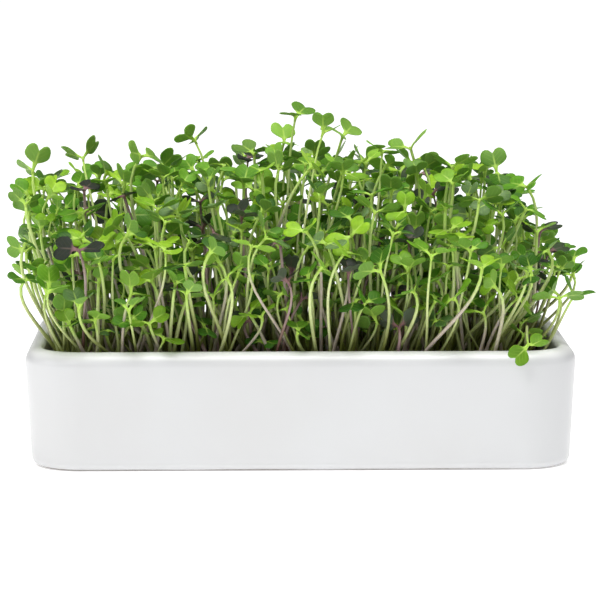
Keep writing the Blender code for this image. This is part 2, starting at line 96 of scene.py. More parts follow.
def arc(centre_inset, centre_z, radius, start, end):
    """Points of the wall's section round an edge; angles in degrees, 0 towards the outside."""
    points = []
    for step in range(ARC_STEPS + 1):
        angle = math.radians(start + (end - start) * step / ARC_STEPS)
        points.append((centre_inset - radius * math.cos(angle), centre_z + radius * math.sin(angle)))
    return points


def straight(start, end):
    """Points of the wall's section between two arcs, without its ends."""
    return [(start[0] + (end[0] - start[0]) * step / WALL_STEPS,
             start[1] + (end[1] - start[1]) * step / WALL_STEPS) for step in range(1, WALL_STEPS)]


def tray_section():
    """The wall's section as (inset, z), from under the base, over the rim, to the inner floor."""
    foot = arc(OUTER_DRAFT + FOOT_FILLET, FOOT_FILLET, FOOT_FILLET, -90, 0)
    outer_rim = arc(RIM_OUTER_ROUND, TRAY_HEIGHT - RIM_OUTER_ROUND, RIM_OUTER_ROUND, 0, 90)
    inner_rim = arc(WALL - RIM_INNER_ROUND, TRAY_HEIGHT - RIM_INNER_ROUND, RIM_INNER_ROUND, 90, 180)
    floor = arc(WALL + INNER_DRAFT + FLOOR_FILLET, BASE_THICKNESS + FLOOR_FILLET, FLOOR_FILLET, 0, -90)
    return (foot + straight(foot[-1], outer_rim[0]) + outer_rim + inner_rim[1:]
            + straight(inner_rim[-1], floor[0]) + floor)


def warped(point):
    """The point moved sideways with the wall's warp, which fades out towards the base.

    The waves are in radians per metre.
    """
    share = min(1, point.z / (TRAY_HEIGHT - RIM_OUTER_ROUND))
    wave_x = math.sin(point.y * 60 + 0.7) + 0.4 * math.sin(point.x * 75)
    wave_y = math.sin(point.x * 41 + 2.2) + 0.5 * math.cos(point.x * 88 + point.y * 50)
    return point + Vector((wave_x, wave_y, 0)) * (KILN_WARP * share / WARP_PEAK)


def tube_faces(first, rings, sides):
    """Quads between successive rings of points, the first of which is at index first."""
    return [(row + i, row + (i + 1) % sides, row + sides + (i + 1) % sides, row + sides + i)
            for row in range(first, first + (rings - 1) * sides, sides) for i in range(sides)]


def closed_faces(first, rings, sides):
    """The faces of a tube with a face over each end."""
    last = first + (rings - 1) * sides
    return tube_faces(first, rings, sides) + [tuple(reversed(range(first, first + sides))),
                                              tuple(range(last, last + sides))]


def new_mesh(name, points, faces):
    """A mesh of points and faces, without materials."""
    made = bpy.data.meshes.new(name)
    made.from_pydata(points, [], faces)
    return made


def in_scene(name, data):
    """A new object in the scene, for a mesh, lamp or camera."""
    made = bpy.data.objects.new(name, data)
    bpy.context.scene.collection.objects.link(made)
    return made


def finished_object(name, mesh, materials):
    """A mesh object in the scene, smooth-shaded, with its materials in order."""
    mesh.shade_smooth()
    for material in materials:
        mesh.materials.append(material)
    return in_scene(name, mesh)


def node(tree, kind, inputs=None, **settings):
    """A new node with its settings, each named input set to a value or fed by another socket."""
    made = tree.nodes.new(kind)
    for setting, value in settings.items():
        setattr(made, setting, value)
    for key, value in (inputs or {}).items():
        if isinstance(value, bpy.types.NodeSocket):
            tree.links.new(value, made.inputs[key])
        else:
            made.inputs[key].default_value = value
    return made


def mixed(tree, share, first, second):
    """A colour between two others. The share is a value or a socket."""
    # A Mix node keeps its colour inputs at 6 and 7 and its colour output at 2
    return node(tree, "ShaderNodeMix", {0: share, 6: first, 7: second}, data_type="RGBA").outputs[2]


def maths(tree, operation, first, second=0.0):
    """The outcome of one sum on two values or sockets."""
    return node(tree, "ShaderNodeMath", {0: first, 1: second}, operation=operation).outputs[0]


def times(tree, first, second):
    """The product of two values or sockets."""
    return maths(tree, "MULTIPLY", first, second)


def ramped(tree, value, low, high, to_low=0.0, to_high=1.0):
    """The value taken smoothly from the range low-high to another range."""
    return node(tree, "ShaderNodeMapRange", {"Value": value, "From Min": low, "From Max": high,
                                             "To Min": to_low, "To Max": to_high},
                interpolation_type="SMOOTHSTEP").outputs["Result"]


def object_place(tree):
    """Where a point of the piece lies, in metres."""
    return node(tree, "ShaderNodeTexCoord").outputs["Object"]


def principled(name, **sockets):
    """A new material and its shader, with uniform values on the shader's own sockets."""
    made = bpy.data.materials.new(name)
    made.use_nodes = True
    shader = made.node_tree.nodes["Principled BSDF"]
    for socket, value in sockets.items():
        shader.inputs[socket.replace("_", " ")].default_value = value
    return made, made.node_tree, shader


def feed(tree, shader, **sockets):
    """Links sockets of other nodes to the shader's."""
    for socket, source in sockets.items():
        tree.links.new(source, shader.inputs[socket.replace("_", " ")])


def new_group(name, colours_in, values_in, colours_out, values_out):
    """A shader node group with named sockets, given with its inputs and outputs as seen inside."""
    group = bpy.data.node_groups.new(name, "ShaderNodeTree")
    for names, way, kind in ((colours_in, "INPUT", "Color"), (values_in, "INPUT", "Float"),
                             (colours_out, "OUTPUT", "Color"), (values_out, "OUTPUT", "Float")):
        for socket_name in names:
            group.interface.new_socket(socket_name, in_out=way, socket_type="NodeSocket" + kind)
    return group, node(group, "NodeGroupInput").outputs, node(group, "NodeGroupOutput").inputs


def placed_group(tree, group, inputs):
    """A node group put in a material with the material's own values, as its output sockets."""
    return node(tree, "ShaderNodeGroup", inputs, node_tree=group).outputs


# Mottle: soft patches and fine grain from one noise each, as masks from 0 to 1
mottle, given, result = new_group("Mottle", (), ("Patch Scale", "Grain Scale"), (), ("Patches", "Grain"))
for scale_name, mask_name, detail in (("Patch Scale", "Patches", 3), ("Grain Scale", "Grain", 6)):
    cloud = node(mottle, "ShaderNodeTexNoise", {"Vector": object_place(mottle), "Detail": detail,
                                                "Scale": given[scale_name]}).outputs[0]
    mottle.links.new(ramped(mottle, cloud, 0.32, 0.68), result[mask_name])


def height_of(tree):
    """The height of a point above the surface that the tray stands on, in metres."""
    return node(tree, "ShaderNodeSeparateXYZ", {"Vector": object_place(tree)}).outputs["Z"]


def bumped(tree, shader, height, distance):
    """Relief on a material: a height mask times a distance in metres."""
    bump = node(tree, "ShaderNodeBump", {"Height": height, "Distance": distance})
    feed(tree, shader, Normal=bump.outputs["Normal"])


# White glaze: glossy, a little uneven in tone, and paler over the rim, partly from thin glaze and mostly as
# painted light.
# Below FOOT_LINE the bare clay shows, painted dark grey as a painted contact shadow along the foot.
GLAZE_BODY = (0.59, 0.59, 0.595, 1)
GLAZE_THICK = (0.61, 0.615, 0.625, 1)
# Painted light: the rim is painted much paler than the glaze body, standing in for light on a rim that the
# foliage shades
RIM_GLAZE_BREAK_AND_PAINTED_LIGHT = (0.84, 0.84, 0.835, 1)
# Painted shadow: the bare clay strip is painted dark grey to stand in for the thin contact shadow under the
# foot; its grain is the clay's own
BARE_CLAY_AND_PAINTED_SHADOW = (0.30, 0.28, 0.26, 1)
DARKER_CLAY_AND_PAINTED_SHADOW = (0.20, 0.18, 0.165, 1)
FOOT_LINE = 0.7 * MM
FOOT_LINE_WANDER = 0.5 * MM
FOOT_LINE_SOFTNESS = 0.3 * MM
RIM_BREAK_AND_LIGHT_LEVELS = (TRAY_HEIGHT - 3.8 * MM, TRAY_HEIGHT - 0.5 * MM)
CLAY_ROUGHNESS = 0.85
GLAZE_ROUGHNESS = 0.33
GLAZE_COAT = 0.3

glaze, tree, shader = principled("white_glaze", Coat_Roughness=0.3, Specular_IOR_Level=0.5)
cloud = placed_group(tree, mottle, {"Patch Scale": 14, "Grain Scale": 420})
height = height_of(tree)
glazed = ramped(tree, maths(tree, "ADD", height, times(tree, cloud["Patches"], FOOT_LINE_WANDER)),
                FOOT_LINE, FOOT_LINE + FOOT_LINE_SOFTNESS)
glaze_tone = mixed(tree, cloud["Patches"], GLAZE_BODY, GLAZE_THICK)
# Painted light over the rim, blended in between these two levels, on top of the glaze thinning there
glaze_tone = mixed(tree, ramped(tree, height, *RIM_BREAK_AND_LIGHT_LEVELS), glaze_tone, RIM_GLAZE_BREAK_AND_PAINTED_LIGHT)
clay_and_shadow_tone = mixed(tree, cloud["Grain"], BARE_CLAY_AND_PAINTED_SHADOW, DARKER_CLAY_AND_PAINTED_SHADOW)
feed(tree, shader, Base_Color=mixed(tree, glazed, clay_and_shadow_tone, glaze_tone),
     Roughness=ramped(tree, glazed, 0, 1, CLAY_ROUGHNESS, GLAZE_ROUGHNESS),
     Coat_Weight=times(tree, glazed, GLAZE_COAT))
bumped(tree, shader, cloud["Grain"], 0.006 * MM)

outlines = [[warped(point) for point in rounded_rectangle(inset, z)] for inset, z in tray_section()]
tray_points = [point for outline in outlines for point in outline]
tray_faces = closed_faces(0, len(outlines), len(outlines[0]))
tray = finished_object("glazed_tray", new_mesh("tray", tray_points, tray_faces), [glaze])
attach(tray, "root")
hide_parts("ceramic_tray")


# Growing medium
# A bed of moist ground coir, pressed into the tray to 12 mm under its rim. It is a loose mat of
# crumbs and short fibres, dark where it is wet, with a pit where each root ball has grown.

SOIL_TOP = TRAY_HEIGHT - 12 * MM
SOIL_PLAY = 0.4 * MM
SOIL_RELIEF = 0.9 * MM
SOIL_CELLS_X = 150
SOIL_CELLS_Y = 88
CLOD_RELIEF = 0.8 * MM
CLOD_SCALE = 210
GRIT_RELIEF = 0.35 * MM
GRIT_SCALE = 640
ROW_COUNTS = (10, 9, 10, 9, 10)
ROW_SPACING = 24.5 * MM
TUFT_SPACING = 21.4 * MM
ROOT_RADIUS = 4.6 * MM
ROOT_DEPTH = 10 * MM
ROOT_SINK = 1.2 * MM
PIT_RADIUS = ROOT_RADIUS + 0.5 * MM
CRUMBS = 900
CRUMB_SIZES = (0.35 * MM, 1.1 * MM)
FIBRES = 520
FIBRE_LENGTHS = (5 * MM, 15 * MM)
FIBRE_RADIUS = 0.13 * MM
FIBRE_STEPS = 7
FIBRE_LIFT = 1.3 * MM
FIBRE_REACH_X = 0.1
FIBRE_REACH_Y = 0.055
LITTER_PLAY = 1 * MM
LITTER_SEED = 5
CRUMB_SIDES = 7
FIBRE_SIDES = 5


def inner_inset(z):
    """How far the tray's inner wall stands in from the rim line at height z."""
    depth = (TRAY_HEIGHT - z) / (TRAY_HEIGHT - BASE_THICKNESS)
    return WALL + INNER_DRAFT * max(0, depth)


def soil_height(x, y):
    """The uneven surface of the pressed coir: three waves across it, in radians per metre."""
    waves = (math.sin(x * 190 + 1.3) * math.cos(y * 230 - 0.4)
             + 0.6 * math.sin(x * 410 - y * 350 + 2.1)
             + 0.5 * math.cos(x * 90 + y * 520))
    return SOIL_TOP + SOIL_RELIEF * waves / 2.1


def tuft_centres():
    """Staggered rows of root balls across the bed, back row last."""
    centres = []
    for row, count in enumerate(ROW_COUNTS):
        y = (row - (len(ROW_COUNTS) - 1) / 2) * ROW_SPACING
        for i in range(count):
            centres.append(((i - (count - 1) / 2) * TUFT_SPACING, y))
    return centres


def soil_point(u, v, inset):
    """A point of the bed for u and v from -1 to 1, pulled in at the rounded corners."""
    half_x = TRAY_LENGTH / 2 - inset
    half_y = TRAY_DEPTH / 2 - inset
    radius = TRAY_CORNER - inset
    x, y = u * half_x, v * half_y
    over_x = abs(x) - (half_x - radius)
    over_y = abs(y) - (half_y - radius)
    reach = math.hypot(max(over_x, 0), max(over_y, 0))
    if over_x > 0 and over_y > 0 and reach > radius:
        x = math.copysign(half_x - radius + over_x * radius / reach, x)
        y = math.copysign(half_y - radius + over_y * radius / reach, y)
    return x, y


def crumbly(x, y):
    """The bed's surface with its clods and grit."""
    clods = noise.noise(Vector((x, y, 0.1)) * CLOD_SCALE)
    grit = noise.noise(Vector((x, y, 0.4)) * GRIT_SCALE)
    return soil_height(x, y) + CLOD_RELIEF * clods + GRIT_RELIEF * grit


# Coir: dark wet crumbs with paler dry fibre in them
COIR_WET = (0.026, 0.015, 0.009, 1)
COIR_DAMP = (0.070, 0.040, 0.022, 1)
COIR_DRY = (0.165, 0.100, 0.055, 1)
FIBRE_PALE = (0.27, 0.165, 0.085, 1)

coir, tree, shader = principled("coir", Roughness=0.92, Specular_IOR_Level=0.25)
cloud = placed_group(tree, mottle, {"Patch Scale": 60, "Grain Scale": 900})
damp = mixed(tree, cloud["Patches"], COIR_WET, COIR_DAMP)
feed(tree, shader, Base_Color=mixed(tree, maths(tree, "POWER", cloud["Grain"], 3.0), damp, COIR_DRY))
bumped(tree, shader, cloud["Grain"], 0.5 * MM)

coir_fibre, tree, shader = principled("coir_fibre", Roughness=0.7)
cloud = placed_group(tree, mottle, {"Patch Scale": 130, "Grain Scale": 1500})
strand = mixed(tree, cloud["Patches"], COIR_DAMP, FIBRE_PALE)
feed(tree, shader, Base_Color=mixed(tree, cloud["Grain"], strand, COIR_DAMP))
bumped(tree, shader, cloud["Grain"], 0.05 * MM)



def cell_point(i, j, inset):
    """The corner of a cell of the bed, by its column and row."""
    return soil_point(2 * i / SOIL_CELLS_X - 1, 2 * j / SOIL_CELLS_Y - 1, inset)


centres = tuft_centres()
top_inset = inner_inset(SOIL_TOP) + SOIL_PLAY
bed_points = []
column = SOIL_CELLS_Y + 1
for i in range(SOIL_CELLS_X + 1):
    for j in range(column):
        x, y = cell_point(i, j, top_inset)
        z = crumbly(x, y)
        if min(math.dist((x, y), centre) for centre in centres) < PIT_RADIUS:
            z = soil_height(x, y) - ROOT_SINK - ROOT_DEPTH - SOIL_PLAY
        bed_points.append((x, y, z))
bed_faces = [(i * column + j, (i + 1) * column + j, (i + 1) * column + j + 1, i * column + j + 1)
             for i in range(SOIL_CELLS_X) for j in range(SOIL_CELLS_Y)]
edge_cells = ([(i, 0) for i in range(SOIL_CELLS_X)] + [(SOIL_CELLS_X, j) for j in range(SOIL_CELLS_Y)]
              + [(SOIL_CELLS_X - i, SOIL_CELLS_Y) for i in range(SOIL_CELLS_X)]
              + [(0, SOIL_CELLS_Y - j) for j in range(SOIL_CELLS_Y)])
upper = [i * column + j for i, j in edge_cells]
knee_z = BASE_THICKNESS + FLOOR_FILLET
knee_inset = inner_inset(knee_z) + SOIL_PLAY
for inset, z in ((knee_inset, knee_z), (knee_inset + FLOOR_FILLET, BASE_THICKNESS + SOIL_PLAY)):
    lower = []
    for i, j in edge_cells:
        lower.append(len(bed_points))
        bed_points.append((*cell_point(i, j, inset), z))
    for i in range(len(edge_cells)):
        following = (i + 1) % len(edge_cells)
        bed_faces.append((upper[following], upper[i], lower[i], lower[following]))
    upper = lower
bed_faces.append(tuple(reversed(upper)))
bed = finished_object("coir_bed", new_mesh("coir_bed", bed_points, bed_faces), [coir])
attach(bed, "root")
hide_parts("growing_medium")


class Growth:
    """Points and faces of one piece, gathered ring by ring before its mesh is made.

    Each point has a tone (its own seedling's, 0-1), a rise (0 at a stem's foot, 1 at its tip) and a
    place on its leaf (side, share, 0), which the materials read as attributes. Each face knows its
    material's number, and whether it is a leaf's underside.
    """

    def __init__(self):
        self.points, self.tones, self.rises, self.places = [], [], [], []
        self.faces, self.finishes, self.unders = [], [], []

    def add_points(self, points, tone, rises=None, places=None):
        first = len(self.tones)
        count = len(points)
        self.points.extend(tuple(point) for point in points)
        self.tones.extend([tone] * count)
        self.rises.extend(rises or [0.0] * count)
        self.places.extend(places or [(0.0, 0.0, 0.0)] * count)
        return first

    def add_faces(self, faces, finish, unders=None):
        self.faces.extend(faces)
        self.finishes.extend([finish] * len(faces))
        self.unders.extend(unders or [0.0] * len(faces))

    def add_tube(self, rings, tone, finish=0, rises=None):
        """A closed tube through rings of the same count of points."""
        sides = len(rings[0])
        first = self.add_points([point for ring in rings for point in ring], tone,
                                [rise for rise in rises or () for _ in range(sides)])
        self.add_faces(closed_faces(first, len(rings), sides), finish)

    def mesh(self, name):
        made = new_mesh(name, self.points, self.faces)
        made.polygons.foreach_set("material_index", self.finishes)
        for label, values in (("tone", self.tones), ("rise", self.rises)):
            made.attributes.new(label, "FLOAT", "POINT").data.foreach_set("value", values)
        place = made.attributes.new("leaf_place", "FLOAT_VECTOR", "POINT")
        place.data.foreach_set("vector", np.array(self.places, np.float32).ravel())
        made.attributes.new("under", "FLOAT", "FACE").data.foreach_set("value", self.unders)
        return made


def squared(direction, along):
    """The part of a direction that is square to another, at unit length."""
    return (direction - along * direction.dot(along)).normalized()


def round_ring(centre, along, across, radius, sides, squeeze=1.0):
    """Points round a stem or fibre, in the plane across its direction."""
    across = squared(across, along)
    aside = along.cross(across)
    return [centre + across * (radius * math.cos(math.tau * i / sides))
            + aside * (radius * squeeze * math.sin(math.tau * i / sides)) for i in range(sides)]


def held_within(value, reach):
    """The value, no further from zero than the reach."""
    return max(-reach, min(reach, value))


litter = random.Random(LITTER_SEED)


def soil_spot():
    """A random place on the bed, clear of the tray's wall."""
    u, v = litter.uniform(-0.97, 0.97), litter.uniform(-0.97, 0.97)
    return soil_point(u, v, top_inset + LITTER_PLAY)


crumbs = Growth()
for _ in range(CRUMBS):
    x, y = soil_spot()
    size = litter.uniform(*CRUMB_SIZES)
    middle = Vector((x, y, crumbly(x, y) + size * 0.2))
    tilt = Vector((litter.uniform(-1, 1), litter.uniform(-1, 1), litter.uniform(0.3, 1))).normalized()
    side = tilt.orthogonal()
    rings = []
    for share in (-0.9, -0.45, 0.1, 0.6, 0.95):
        girth = size * math.sqrt(1 - share * share) * litter.uniform(0.8, 1.2)
        rings.append(round_ring(middle + tilt * (share * size * 0.8), tilt, side, girth, CRUMB_SIDES,
                                litter.uniform(0.75, 1.1)))
    crumbs.add_tube(rings, litter.random())
crumb_piece = finished_object("coir_crumbs", crumbs.mesh("coir_crumbs"), [coir])

fibres = Growth()
for _ in range(FIBRES):
    x, y = soil_spot()
    heading = litter.uniform(0, math.tau)
    length = litter.uniform(*FIBRE_LENGTHS)
    curl = litter.uniform(-1.6, 1.6)
    points = []
    for step in range(FIBRE_STEPS + 1):
        lift = FIBRE_LIFT * math.sin(math.pi * step / FIBRE_STEPS) * litter.uniform(0.2, 1)
        px, py = soil_point(x / (TRAY_LENGTH / 2 - top_inset), y / (TRAY_DEPTH / 2 - top_inset),
                            top_inset + LITTER_PLAY)
        points.append(Vector((px, py, crumbly(px, py) + lift)))
        x += math.cos(heading) * length / FIBRE_STEPS
        y += math.sin(heading) * length / FIBRE_STEPS
        x = held_within(x, FIBRE_REACH_X)
        y = held_within(y, FIBRE_REACH_Y)
        heading += curl / FIBRE_STEPS
    rings = []
    for step, point in enumerate(points):
        run = points[min(FIBRE_STEPS, step + 1)] - points[max(0, step - 1)]
        along = run.normalized() if run.length > 1e-6 else Vector((1, 0, 0))
        girth = FIBRE_RADIUS * (0.45 if step in (0, FIBRE_STEPS) else 1)
        rings.append(round_ring(point, along, Vector((0, 0, 1)), girth, FIBRE_SIDES))
    fibres.add_tube(rings, litter.random())
fibre_piece = finished_object("coir_fibres", fibres.mesh("coir_fibres"), [coir_fibre])
for piece in (crumb_piece, fibre_piece):
    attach(piece, "root")


# Seedlings
# Brassica seedlings about ten days old: a stem about 1.5 mm thick and two seed leaves with two
# lobes each, on short stalks. Sown in the coir, each three of the main ones have knitted their roots
# into one ball, and later ones stand loose between them. About one in eleven is purple.

SHOOTS_PER_TUFT = 3
PURPLE_EVERY = 6
PURPLE_FIRST = 4
PURPLE_SIZE = 0.86
PURPLE_HEIGHT = 0.84
STEM_HALF_WIDTH = 0.68 * MM
LOW_LEAN = 0.2
LOW_RISE = 0.36
STEM_BEND = 0.06
NOD = (0, 52)
NOD_SHARE = 0.26
LEAF_THICKNESS = 0.65 * MM
LEAF_LENGTH = 7.6 * MM
LEAF_HALF_WIDTH = 5.2 * MM
LEAF_SIZES = (0.80, 1.06)
STALK_LENGTHS = (1.0 * MM, 2.6 * MM)
STALK_HALF_WIDTH = 0.55 * MM
SPREAD = (4, 50)
SPREAD_PLAY = 16
ROLL = 26
CUP = (-0.7 * MM, 1.3 * MM)
DROOP = (0.2 * MM, 1.9 * MM)
HEIGHT_SHARES = ((0.80, 0.97), (0.56, 0.76), (0.30, 0.50))
HEAD_SCATTER = (9 * MM, 12 * MM, 15 * MM)
LEAF_SCALES = (1.08, 1.0, 0.86)
FAN_ALONG = 0.17
FAN_ACROSS = 0.3
FAN_HEIGHT = 75 * MM
FRONT_DROP = 0.34
FRONT_ROW = 50 * MM
LOW_REACH = 96 * MM
LOW_HEAD = 22 * MM
# Skyline: how high the heads stand above the medium, from the stand's left end to its right end
SKYLINE = [(x * MM, height * MM) for x, height in (
    (-127, 66), (-116, 81), (-60, 88), (0, 95), (50, 91), (90, 79), (101, 71), (108, 46), (127, 38))]
# Leaders: heads that stand out of the mass, by their x, y and height above the medium
LEADERS = [(x * MM, y * MM, height * MM) for x, y, height in (
    (-115, -8, 82), (-94, 12, 86), (-66, -12, 91), (-47, 16, 94), (-20, 30, 85), (-3, 2, 105),
    (8, -18, 100), (18, 24, 96), (35, -4, 91), (50, 20, 91), (67, -10, 86), (86, 14, 79), (99, -4, 75),
    (98, 30, 61), (120, 2, 40), (115, -42, 32), (-117, 20, 64), (-117, -30, 50), (-40, -74, 56),
    (30, -73, 46), (-84, 72, 66), (4, 74, 68), (84, 71, 54))]
LEADER_LEAN = (0.9, 0.8)
STAND_REACH = (127 * MM, 83 * MM, 152 * MM)
FLOPPED_FOOT = (91 * MM, -TRAY_DEPTH / 2)
FLOPPED_HEAD = Vector((91 * MM, -78 * MM, TRAY_HEIGHT + 4 * MM))
FLOPPED_ARCH = 16 * MM
SEED = 41
CLEARANCE = 3.1 * MM
STEM_SAMPLE = 2.5 * MM
WALL_CLEARANCE = 2.2 * MM
LEAF_CLEARANCE = 3 * MM
NUDGE = 2 * MM
TRIES = 400
STALK_SAMPLE = -0.25
LEAF_SAMPLES = [(0.1, 0), (0.4, 0), (0.7, 0)] + [(share, side * way) for share, side in (
    (0.25, 0.4), (0.45, 1), (0.5, 0.5), (0.72, 0.85), (0.75, 0.45), (0.96, 0.58)) for way in (-1, 1)]
# The tall leaders keep to the deeper part of the range of greens
LEADER_TONE = 0.62
# Loose seedlings between the main ones. The counts are of those tried: not all find room.
LOOSE_SEEDLINGS = 840
BACK_LEAN = 0.6
LOOSE_SEED = 12
LOOSE_CLEARANCE = 1.4 * MM
LOOSE_TRIES = 60
LOOSE_HEIGHTS = (0.28, 0.97)
LOOSE_SCATTER = (8 * MM, 26 * MM)
LOOSE_SCALES = (0.80, 1.12)
BACK_SCALES = (0.95, 1.25)
LOOSE_PURPLE = 0.08
LOOSE_PIECES = 6
# None starts in the front right corner, beyond this x and y
BARE_CORNER = (90 * MM, -14 * MM)
# Every seventh is tried at the left end, where the photographed stand is dense
LEFT_EVERY = 7
LEFT_END = (-0.97, -0.8)
LOW_SEEDLINGS = 500
LOW_HEIGHTS = (13 * MM, 50 * MM)
LOW_SCATTER = 0.6
LOOSE_FOOT_SINK = 2.5 * MM
LOOSE_UNDER_SKYLINE = 0.9
LOOSE_EDGE_DROP = 0.3
BACK_FROM = 0.3
DETAIL_SEED = 78
# Mesh detail
STEM_SIDES = 8
STEM_RINGS = 11
STEM_GIRTHS = (0.86 * MM, 0.60 * MM)
STEM_WIGGLE = 0.5 * MM
BUD_RINGS = ((0.5 * MM, 0.5 * MM), (0.9 * MM, 0.32 * MM), (1.15 * MM, 0.1 * MM))
LEAF_COLUMNS = 12
STALK_RINGS = 4
BLADE_ROWS = (0, 0.12, 0.26, 0.42, 0.6, 0.8, 1)
BLADE_WIDEST_AT = 0.62
BLADE_SHOULDER = 0.42
BLADE_WEDGE = 0.4
BLADE_SIDE_TOP = 0.53
BLADE_HALF_THICKNESS = 0.17 * MM
STALK_HALF_THICKNESS = 0.42 * MM
STALK_FLARE = 2.1
MIDRIB_DEPTH = 0.32 * MM
CREASE = 0.3 * MM
NOTCHES = (0.66, 0.84)
LOBE_MIDDLE = 0.5
RIPPLES = (0, 0.35)
RIPPLE_WAVES = (3, 6)
CURLS = (-1.5, 3.5)
MIDRIB_WIDTH = 0.12
CREASE_WIDTH = 0.25
CURL_FROM = 0.55
EDGE_THINNING = 0.45
STEM_WAVE = 26 * MM
VIGOUR = (0.72, 1.1)
ROOT_SIDES = 18
# The root ball's rings as (height over the soil, radius), in mm
ROOT_RINGS = ((-11.2, 2.4), (-9, 3.3), (-6, 3.9), (-3, 4.5), (-1.4, 4.9), (-0.3, 5.4), (0.3, 4.6), (0.6, 2.6))
# Places in a tuft's list of materials
STEM, LEAF, ROOTS = range(3)


def bezier(points, t):
    """The point at share t of a cubic curve through four control points."""
    a, b, c, d = points
    s = 1 - t
    return a * s ** 3 + b * (3 * s * s * t) + c * (3 * s * t * t) + d * t ** 3


def bezier_tangent(points, t):
    a, b, c, d = points
    s = 1 - t
    return ((b - a) * (s * s) + (c - b) * (2 * s * t) + (d - c) * (t * t)).normalized()


class Shoot:
    """One seedling: a stem along a curve and two seed leaves on opposite sides of its tip."""

    def __init__(self, draw, foot, head, scale, arch=None):
        rise = head - foot
        bend = Vector((draw.uniform(-1, 1), draw.uniform(-1, 1), 0)) * rise.length * STEM_BEND
        low = foot + Vector((rise.x * LOW_LEAN, rise.y * LOW_LEAN, rise.z * LOW_RISE)) + bend
        nod = math.radians(draw.uniform(*NOD))
        facing = draw.uniform(0, math.tau)
        aslant = math.sin(nod)
        tip_way = Vector((aslant * math.cos(facing), aslant * math.sin(facing), math.cos(nod)))
        high = head - tip_way * (rise.length * NOD_SHARE)
        if arch is not None:
            low = foot + Vector((0, 0, rise.z + arch))
            high = head + Vector((0, -rise.y * LOW_RISE, arch * NOD_SHARE))
        self.path = (foot, low, high, head)
        self.up = bezier_tangent(self.path, 1)
        turn = draw.uniform(0, math.tau)
        across = Vector((math.cos(turn), math.sin(turn), 0)) if arch is None else Vector((1, 0, 0.8))
        self.across = squared(across, self.up)
        self.aside = self.up.cross(self.across)
        self.stalk = draw.uniform(*STALK_LENGTHS) * scale
        self.leaves = []
        self.tone_reach = 1
        spread = draw.uniform(*SPREAD)
        for way in (1, -1):
            size = draw.uniform(*LEAF_SIZES) * scale
            self.leaves.append({
                "way": way,
                "pitch": math.radians(spread + draw.uniform(-SPREAD_PLAY, SPREAD_PLAY)),
                "roll": math.radians(draw.uniform(-ROLL, ROLL)),
                "length": LEAF_LENGTH * size,
                "half_width": LEAF_HALF_WIDTH * size,
                "cup": draw.uniform(*CUP),
                "droop": draw.uniform(*DROOP),
            })

    def leaf_frame(self, leaf):
        """Leaf directions: out along it, over its width, and its face."""
        out = self.across * (leaf["way"] * math.cos(leaf["pitch"])) + self.up * math.sin(leaf["pitch"])
        flat = self.aside * leaf["way"]
        face = out.cross(flat)
        over = flat * math.cos(leaf["roll"]) + face * math.sin(leaf["roll"])
        return out, over, out.cross(over)

    def leaf_root(self, leaf):
        """Where the leaf's stalk would start, on the stem's side at its tip."""
        return self.path[3] + self.across * (STEM_HALF_WIDTH * leaf["way"]) + self.up * LEAF_THICKNESS

    def leaf_point(self, leaf, share, side):
        """A point on the leaf: share of its length, and side from -1 to 1 of its width."""
        out, over, face = self.leaf_frame(leaf)
        lift = leaf["cup"] * side * side - leaf["droop"] * share * share
        return (self.leaf_root(leaf) + out * (self.stalk + leaf["length"] * share)
                + over * (leaf["half_width"] * side) + face * lift)

    def samples(self):
        """Points spread over the whole shoot, for keeping it clear of others."""
        length = (self.path[3] - self.path[0]).length
        count = max(4, round(length / STEM_SAMPLE))
        points = [bezier(self.path, i / count) for i in range(count + 1)]
        for leaf in self.leaves:
            points += self.leaf_samples(leaf)
        return points

    def leaf_samples(self, leaf):
        stalk = self.leaf_point(leaf, STALK_SAMPLE, 0)
        return [stalk] + [self.leaf_point(leaf, share, side) for share, side in LEAF_SAMPLES]


class Room:
    """The space that shoots have taken, as points kept by the cell they lie in."""

    def __init__(self, reach):
        self.reach = reach
        self.cells = {}

    def cell(self, point):
        return tuple(math.floor(value / self.reach) for value in point)

    def add(self, points):
        for point in points:
            self.cells.setdefault(self.cell(point), []).append(point)

    def is_clear(self, points):
        near = (-1, 0, 1)
        for point in points:
            i, j, k = self.cell(point)
            for cell in ((i + a, j + b, k + c) for a in near for b in near for c in near):
                for other in self.cells.get(cell, ()):
                    if (other - point).length < self.reach:
                        return False
        return True


def clears_tray(points):
    """No point is in the wall, against it or just over the rim."""
    half_x, half_y = TRAY_LENGTH / 2, TRAY_DEPTH / 2
    for point in points:
        if point.z > TRAY_HEIGHT + WALL_CLEARANCE:
            continue
        inner = inner_inset(point.z) + WALL_CLEARANCE
        over_x, over_y = abs(point.x) - (half_x - TRAY_CORNER), abs(point.y) - (half_y - TRAY_CORNER)
        if over_x > 0 and over_y > 0:
            out_by = math.hypot(over_x, over_y) - TRAY_CORNER
        else:
            out_by = max(abs(point.x) - half_x, abs(point.y) - half_y)
        if -inner < out_by < WALL_CLEARANCE:
            return False
    return True


def in_reach(points):
    """Every point is within the stand's outermost leaves."""
    return all(abs(point[axis]) < STAND_REACH[axis] for point in points for axis in range(3))


def clears_soil(shoot):
    for leaf in shoot.leaves:
        for point in shoot.leaf_samples(leaf):
            in_tray = abs(point.x) < TRAY_LENGTH / 2 and abs(point.y) < TRAY_DEPTH / 2
            if in_tray and point.z < soil_height(point.x, point.y) + LEAF_CLEARANCE:
                return False
    return True


def skyline(x):
    """Height of the stand above the medium at x."""
    if x <= SKYLINE[0][0]:
        return SKYLINE[0][1]
    for (x0, z0), (x1, z1) in zip(SKYLINE, SKYLINE[1:]):
        if x < x1:
            return z0 + (z1 - z0) * (x - x0) / (x1 - x0)
    return SKYLINE[-1][1]


def is_purple(index):
    """Whether a tuft is of the darker variety."""
    return index % PURPLE_EVERY == PURPLE_FIRST


